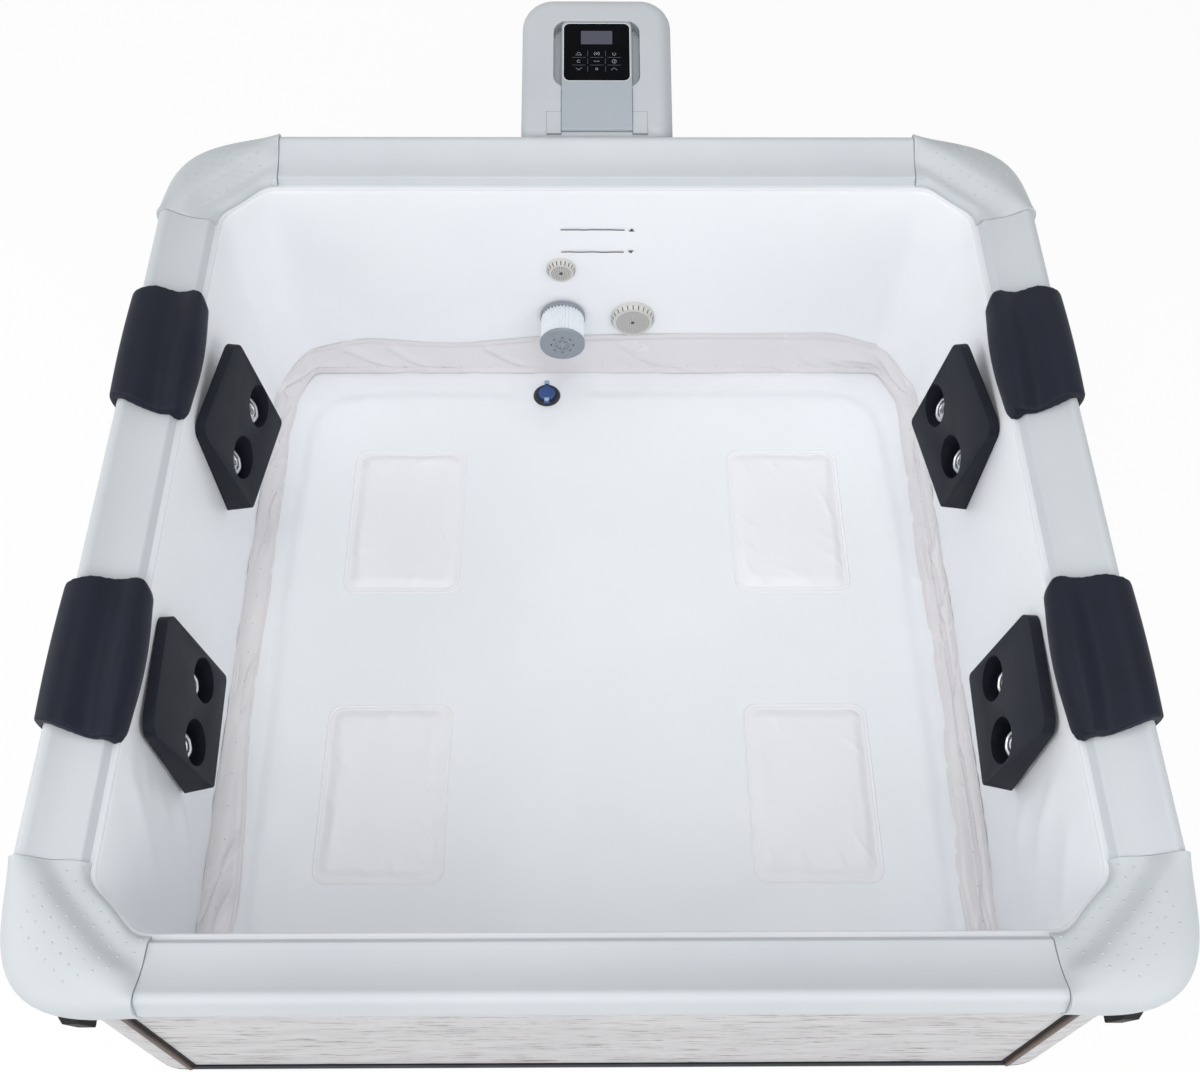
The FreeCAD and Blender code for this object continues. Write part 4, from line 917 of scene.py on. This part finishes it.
def add_nub(points, faces, place, normal):
    side = normal.orthogonal().normalized()
    other = normal.cross(side)
    start = len(points)
    count = 10
    levels = ((1.0, -0.25), (0.85, 0.45), (0.5, 0.85))
    for reach, lift in levels:
        points += circle(place + normal * NUB[1] * lift, side, other, NUB[0] * reach, count)
    points.append(place + normal * NUB[1])
    faces += lattice(len(levels), count, start)
    last = start + (len(levels) - 1) * count
    faces += [(last + k, last + (k + 1) % count, len(points) - 1) for k in range(count)]
    faces.append(tuple(range(start + count - 1, start - 1, -1)))


def ribbon(points, faces, line, width, face):
    """Flat strip along a line in the plane with that facing direction."""
    start = len(points)
    for k, here in enumerate(line):
        ahead = line[min(k + 1, len(line) - 1)] - line[max(k - 1, 0)]
        across = face.cross(ahead).normalized() * width / 2
        points += [here - across, here + across]
    faces += [(start + 2 * k, start + 2 * k + 1, start + 2 * k + 3, start + 2 * k + 2)
              for k in range(len(line) - 1)]


LINES = ((0.512, 1.0), (0.441, -1.0))   # height of the upper and lower water line, way of its arrow
LINE_SPAN = (-0.082, 0.062)
LINE_WIDTH = 0.0030


def make_water_lines():
    """Hand-drawn upper and lower water lines with a small arrow each, on the back wall."""
    face = Vector((0.0, -1.0, 0.0))
    stand = FACE - 0.0030
    points, faces = [], []
    for height, way in LINES:
        line = []
        for k in range(25):
            x = blend(LINE_SPAN[0], LINE_SPAN[1], k / 24)
            line.append(Vector((x, stand, height + 0.0016 * ripple(32.0 * x, height * 20.0, 0.7))))
        ribbon(points, faces, line, LINE_WIDTH, face)
        tip = Vector((LINE_SPAN[1] + 0.016, stand, height + way * 0.004))
        start = len(points)
        points += [tip, tip + Vector((-0.007, 0.0, -way * 0.009)), tip + Vector((0.007, 0.0, -way * 0.009))]
        faces.append((start, start + 1, start + 2))
    new_piece("water_lines", points, faces, "ink")


GLASS_MIDDLE = middle_of("display_glass")


def panel_place(across, along, lift):
    """Place on the control panel: across and along its face from its middle, above the glass."""
    up = Vector((0.0, -math.sin(SLOPE), math.cos(SLOPE)))
    way = Vector((0.0, math.cos(SLOPE), math.sin(SLOPE)))
    return GLASS_MIDDLE + Vector((across, 0.0, 0.0)) + way * along + up * (GLASS[2] / 2 + lift)


def drawn(name, strokes, width, finish, lift=0.0003, body="panel"):
    """Strokes on the control panel or the box round it, each a list of (across, along)."""
    face = Vector((0.0, -math.sin(SLOPE), math.cos(SLOPE)))
    points, faces = [], []
    for stroke in strokes:
        ribbon(points, faces, [panel_place(a, b, lift) for a, b in stroke], width, face)
    return new_piece(name, points, faces, finish, body)


def arc(cx, cy, radius, start, end, steps=14):
    """Points on an arc, angles in degrees."""
    turns = [math.radians(blend(start, end, k / steps)) for k in range(steps + 1)]
    return [(cx + radius * math.cos(t), cy + radius * math.sin(t)) for t in turns]


def frame_line(width, height, radius, cx=0.0, cy=0.0):
    """Closed outline of a rounded rectangle."""
    x, y = width / 2 - radius, height / 2 - radius
    line = arc(cx + x, cy + y, radius, 0, 90, 8) + arc(cx - x, cy + y, radius, 90, 180, 8)
    line += arc(cx - x, cy - y, radius, 180, 270, 8) + arc(cx + x, cy - y, radius, 270, 360, 8)
    return line + line[:1]


ICON_X = (-0.0405, 0.0, 0.0395)
ICON_Y = (-0.0046, -0.0250, -0.0454)
SCREEN = (0.071, 0.036, 0.0385)   # width, height, and middle above the middle of the glass


def icon_strokes():
    """Nine plain control marks: a dome, a ring between arcs, rings, a wave, a clock and arrows."""
    strokes = []
    x0, x1, x2 = ICON_X
    y0, y1, y2 = ICON_Y
    strokes.append([(x0 - 0.007, y0 - 0.0035), (x0 + 0.007, y0 - 0.0035)])
    strokes.append(arc(x0, y0 - 0.0012, 0.0042, 20, 160, 8))
    strokes.append(arc(x1, y0, 0.0022, 0, 360, 12))
    strokes.append(arc(x1, y0, 0.0058, 130, 230, 8))
    strokes.append(arc(x1, y0, 0.0058, -50, 50, 8))
    strokes.append(arc(x2, y0 - 0.0008, 0.0036, 120, 420, 12))
    strokes.append(arc(x0, y1, 0.0036, 30, 330, 12))
    strokes.append([(x1 - 0.006 + 0.001 * k, y1 + 0.0012 * math.sin(1.05 * k)) for k in range(13)])
    strokes.append(arc(x2, y1, 0.0048, 0, 360))
    strokes.append([(x2, y1 + 0.0028), (x2, y1), (x2 + 0.0022, y1 - 0.0012)])
    strokes.append([(x0 - 0.0068, y2 + 0.003), (x0, y2 - 0.003), (x0 + 0.0068, y2 + 0.003)])
    strokes.append(arc(x1, y2, 0.0026, 0, 360, 12))
    strokes.append([(x2 - 0.0068, y2 - 0.003), (x2, y2 + 0.003), (x2 + 0.0068, y2 - 0.003)])
    return strokes


def make_panel_marks():
    drawn("panel_icons", icon_strokes(), 0.0007, "icon")
    dividers = [[(x - 0.0155, y - 0.0102), (x + 0.0155, y - 0.0102)] for x in ICON_X for y in ICON_Y[:2]]
    dividers += [[(x, y - 0.0075), (x, y + 0.0075)] for x in (-0.0203, 0.0198) for y in ICON_Y]
    drawn("panel_dividers", dividers, 0.0006, "hairline")
    # Thin pale frame at the glass's edge: painted highlight of the arm's edge
    drawn("panel_edge_highlight", [frame_line(GLASS[0] + 0.001, GLASS[1] + 0.001, 0.0145)], 0.0016, "edge_highlight")
    width, height, middle = SCREEN
    line = frame_line(width, height, 0.002, 0.0, middle)
    points = [panel_place(a, b, 0.0003) for a, b in line[:-1]]
    new_piece("panel_screen", points, [tuple(range(len(points)))], "screen", "panel")


SEAM_LIFT = -0.0027      # top of the box, from the glass
ARM_SEAM = -0.095        # upper end of the seams beside the arm
COVER_SEAM = (0.032, 0.050)   # width and length of the seam round a hinge cover


def make_box_seams():
    """Dark lines in the gaps round the hinge covers and beside the arm, on the sloping top of the box: painted
    shade of the gaps.
    """
    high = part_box("hinge_covers")[1]
    top = (high[1] - GLASS_MIDDLE.y) / math.cos(SLOPE) - 0.004
    foot = top - COVER_SEAM[1]
    outer, inner = high[0], high[0] - COVER_SEAM[0]
    strokes = [[(s * outer, foot), (s * outer, top), (s * inner, top), (s * inner, foot)] for s in (-1, 1)]
    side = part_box("panel_arm")[1][0] + 0.0008
    strokes += [[(s * side, foot), (s * side, ARM_SEAM)] for s in (-1, 1)]
    drawn("box_seams", strokes, 0.0012, "seam", SEAM_LIFT, "tub")


# Chrome eyeball of a jet: radius and height of its rings along the bore
EYEBALL = ((0.0300, -0.0120), (0.0300, 0.0), (0.0285, 0.0022), (0.0250, 0.0022), (0.0235, 0.0004),
           (0.0200, 0.0016), (0.0160, 0.0036), (0.0115, 0.0046), (0.0100, 0.0036), (0.0090, -0.0060))
EYEBALL_PLACE = {1: 0.022, 2: 0.014, 3: 0.030, 4: 0.055}   # up the bore from the wall, by jet


def make_eyeballs():
    """Bright rings up the bores of the massage pads' windows, square to the bores."""
    points, faces = [], []
    count = 32
    for side in (-1.0, 1.0):
        axis = Vector((-side * math.cos(PAD_TILT), 0.0, math.sin(PAD_TILT)))
        across = Vector((0.0, 1.0, 0.0))
        other = axis.cross(across)
        for k in (1, 2, 3, 4):
            jet = middle_of("jet_nozzle_%s_%d" % ("left" if side < 0.0 else "right", k))
            jet.x = side * FACE
            middle = jet + axis * EYEBALL_PLACE[k]
            start = len(points)
            for radius, height in EYEBALL:
                for j in range(count):
                    turn = 2 * math.pi * j / count
                    rib = 1.0 + 0.02 * math.cos(8 * turn)
                    spoke = math.cos(turn) * across + math.sin(turn) * other
                    points.append(middle + axis * height + radius * rib * spoke)
            faces += lattice(len(EYEBALL), count, start)
    new_piece("jet_eyeballs", points, faces, "eyeball")


GRILLE_PITCH = 0.0043
GRILLE_HOLE = 0.0014
GRILLE_SCREW = 0.0052
GRILLE_EDGE = 0.0052     # face's edge in from the rim
SLOT_HALF = 0.0012
SLOT_DEPTH = 0.45        # share of the grille's depth
MARK_LIFT = 0.0003
RIM_SLOTS = {"return_grille": 20, "suction_grille": 24}


def make_grille_faces():
    """Rings of fine holes round a screw hole, and rim slots, on the faces of the two grilles: dark discs and
    strips over a plain plate, painted shade for the holes and slots.
    """
    for node in ("return_grille", "suction_grille"):
        low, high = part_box(node)
        x, z, front = (low[0] + high[0]) / 2, (low[2] + high[2]) / 2, low[1] - MARK_LIFT
        rim = (high[0] - low[0]) / 2
        radius = rim - GRILLE_EDGE
        plate, plate_faces, holes, hole_faces = [], [], [], []
        disc(plate, plate_faces, x, front, z, radius, 64)
        for k in range(2, int(radius / GRILLE_PITCH)):
            ring = k * GRILLE_PITCH
            number = round(2 * math.pi * ring / GRILLE_PITCH)
            for j in range(number):
                turn = 2 * math.pi * (j + 0.5 * (k % 2)) / number
                across, up = x + ring * math.cos(turn), z + ring * math.sin(turn)
                disc(holes, hole_faces, across, front - MARK_LIFT, up, GRILLE_HOLE, 6)
        disc(holes, hole_faces, x, front - MARK_LIFT, z, GRILLE_SCREW, 20)
        slant = SLOT_DEPTH * (high[1] - low[1])
        for k in range(RIM_SLOTS[node]):
            turn = 2 * math.pi * k / RIM_SLOTS[node]
            first = len(holes)
            for reach, y in ((rim - 0.0047, front), (rim + MARK_LIFT, low[1] + slant)):
                for side in (-SLOT_HALF, SLOT_HALF):
                    holes.append((x + reach * math.cos(turn) - side * math.sin(turn), y,
                                  z + reach * math.sin(turn) + side * math.cos(turn)))
            hole_faces.append((first, first + 1, first + 3, first + 2))
        new_piece(node + "_face", plate, plate_faces, "grille")
        new_piece(node + "_holes", holes, hole_faces, "perforation")


def disc(points, faces, x, y, z, radius, count):
    """Flat disc that faces the front."""
    faces.append(tuple(range(len(points), len(points) + count)))
    points += circle(Vector((x, y, z)), Vector((1.0, 0.0, 0.0)), Vector((0.0, 0.0, 1.0)), radius, count)


STRAP = (0.0062, 0.0010)   # half width and thickness of the drain cap's strap


def make_drain_strap():
    """Pale strap on the drain's cap: flat at the hinge in front, a tab over the rim behind."""
    body_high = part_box("drain_body")[1]
    cap_low, cap_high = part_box("drain_cap")
    x = (cap_low[0] + cap_high[0]) / 2
    runs = ((cap_low[1] + 0.0145, cap_low[1] + 0.0035, 0.0), (cap_high[1] - 0.004, cap_high[1] + 0.006, 1.0))
    points, faces = [], []
    for start, end, drop in runs:
        first = len(points)
        for k in range(7):
            share = k / 6
            y = blend(start, end, share)
            z = blend(cap_high[2], body_high[2], drop * ease(0.25, 0.75, share)) + STRAP[1]
            half = STRAP[0] * (1.0 - 0.35 * ease(0.7, 1.0, share))
            points += [(x - half, y, z), (x + half, y, z)]
        faces += [(first + 2 * k, first + 2 * k + 1, first + 2 * k + 3, first + 2 * k + 2) for k in range(6)]
    strap = new_piece("drain_strap", points, faces, "strap", "drain_lid")
    solid = strap.modifiers.new("thickness", "SOLIDIFY")
    solid.thickness = STRAP[1]
    solid.offset = 0.0


# Stage, light and camera

def make_stage():
    size = 9.0
    mesh = bpy.data.meshes.new("ground")
    mesh.from_pydata([(-size, -size, 0.0), (size, -size, 0.0), (size, size, 0.0), (-size, size, 0.0)],
                     [], [(0, 1, 2, 3)])
    ground = add_object("ground", mesh)
    ground.location.z = -0.0005
    finish = Finish("ground_white", 0.9, Specular_IOR_Level=0.1)
    finish.paint(finish.mix(finish.level(finish.grain(1.5, 2.0), 0.3, 0.7), (0.93, 0.93, 0.93, 1.0),
                            (0.95, 0.95, 0.95, 1.0)))
    mesh.materials.append(finish.material)
    lit = finish.node("Emission", Color=(1.0, 1.0, 1.0, 1.0), Strength=1.0)
    seen = finish.node("LightPath")
    share = finish.math("MULTIPLY", finish.math("MAXIMUM", seen.outputs["Is Camera Ray"],
                                                 seen.outputs["Is Glossy Ray"]), 0.93)
    both = finish.node("MixShader", Fac=share)
    finish.feed(both.inputs[1], finish.shader.outputs[0])
    finish.feed(both.inputs[2], lit.outputs[0])
    out = finish.tree.nodes["Material Output"]
    finish.feed(out.inputs["Surface"], both.outputs[0])


SKY_LEVEL = 0.18
LAMPS = (                # name, place, width and power
    ("high_lamp", (0.0, -2.8, 4.2), 4.4, 86.0),
    ("front_left_lamp", (-3.4, -2.9, 2.6), 4.0, 64.0),
    ("front_right_lamp", (3.4, -2.9, 2.6), 4.0, 86.0),
    ("left_lamp", (-4.4, 0.4, 2.4), 4.0, 66.0),
    ("top_lamp", (0.0, 0.4, 4.6), 3.0, 42.0),
    ("back_lamp", (0.0, 4.4, 2.6), 4.0, 16.0),
)


def make_light():
    world = bpy.data.worlds.new("studio")
    bpy.context.scene.world = world
    world.use_nodes = True
    tree = world.node_tree
    sky = tree.nodes["Background"]
    sky.inputs["Color"].default_value = (1.0, 1.0, 1.0, 1.0)
    seen = tree.nodes.new("ShaderNodeLightPath")
    shown = seen.outputs["Is Camera Ray"]
    for ray in ("Is Glossy Ray", "Is Transmission Ray"):
        either = tree.nodes.new("ShaderNodeMath")
        either.operation = "MAXIMUM"
        tree.links.new(shown, either.inputs[0])
        tree.links.new(seen.outputs[ray], either.inputs[1])
        shown = either.outputs[0]
    strength = tree.nodes.new("ShaderNodeMapRange")
    strength.inputs["To Min"].default_value = SKY_LEVEL
    strength.inputs["To Max"].default_value = 1.0
    tree.links.new(shown, strength.inputs["Value"])
    tree.links.new(strength.outputs[0], sky.inputs["Strength"])
    for name, place, size, power in LAMPS:
        data = bpy.data.lights.new(name, "AREA")
        data.shape = "DISK"
        data.size = size
        data.energy = power
        lamp = add_object(name, data)
        lamp.location = place
        aim = Vector((0.0, 0.0, 0.3)) - Vector(place)
        lamp.rotation_euler = aim.to_track_quat("-Z", "Y").to_euler()


def make_camera():
    pitch, yaw, roll = (math.radians(a) for a in (PITCH, YAW, ROLL))
    ahead = Vector((math.sin(yaw) * math.cos(pitch), math.cos(yaw) * math.cos(pitch), -math.sin(pitch)))
    level = Vector((math.cos(yaw), -math.sin(yaw), 0.0))
    down = ahead.cross(level)
    right = level * math.cos(roll) + down * math.sin(roll)
    below = down * math.cos(roll) - level * math.sin(roll)
    data = bpy.data.cameras.new("photo_camera")
    data.sensor_fit = "HORIZONTAL"
    data.sensor_width = SENSOR
    data.lens = SENSOR * FOCAL / PICTURE[0]
    camera = add_object("photo_camera", data)
    camera.matrix_world = Matrix.Translation(EYE) @ Matrix((right, -below, -ahead)).transposed().to_4x4()
    bpy.context.scene.camera = camera


dress_nodes()
make_wall_liner()
make_floor()
make_skirt()
make_seats()
make_headrests()
make_massage_pads()
make_nubs()
make_water_lines()
make_panel_marks()
make_box_seams()
make_eyeballs()
make_grille_faces()
make_drain_strap()
make_stage()
make_light()
make_camera()
bpy.context.scene.view_settings.view_transform = "Standard"
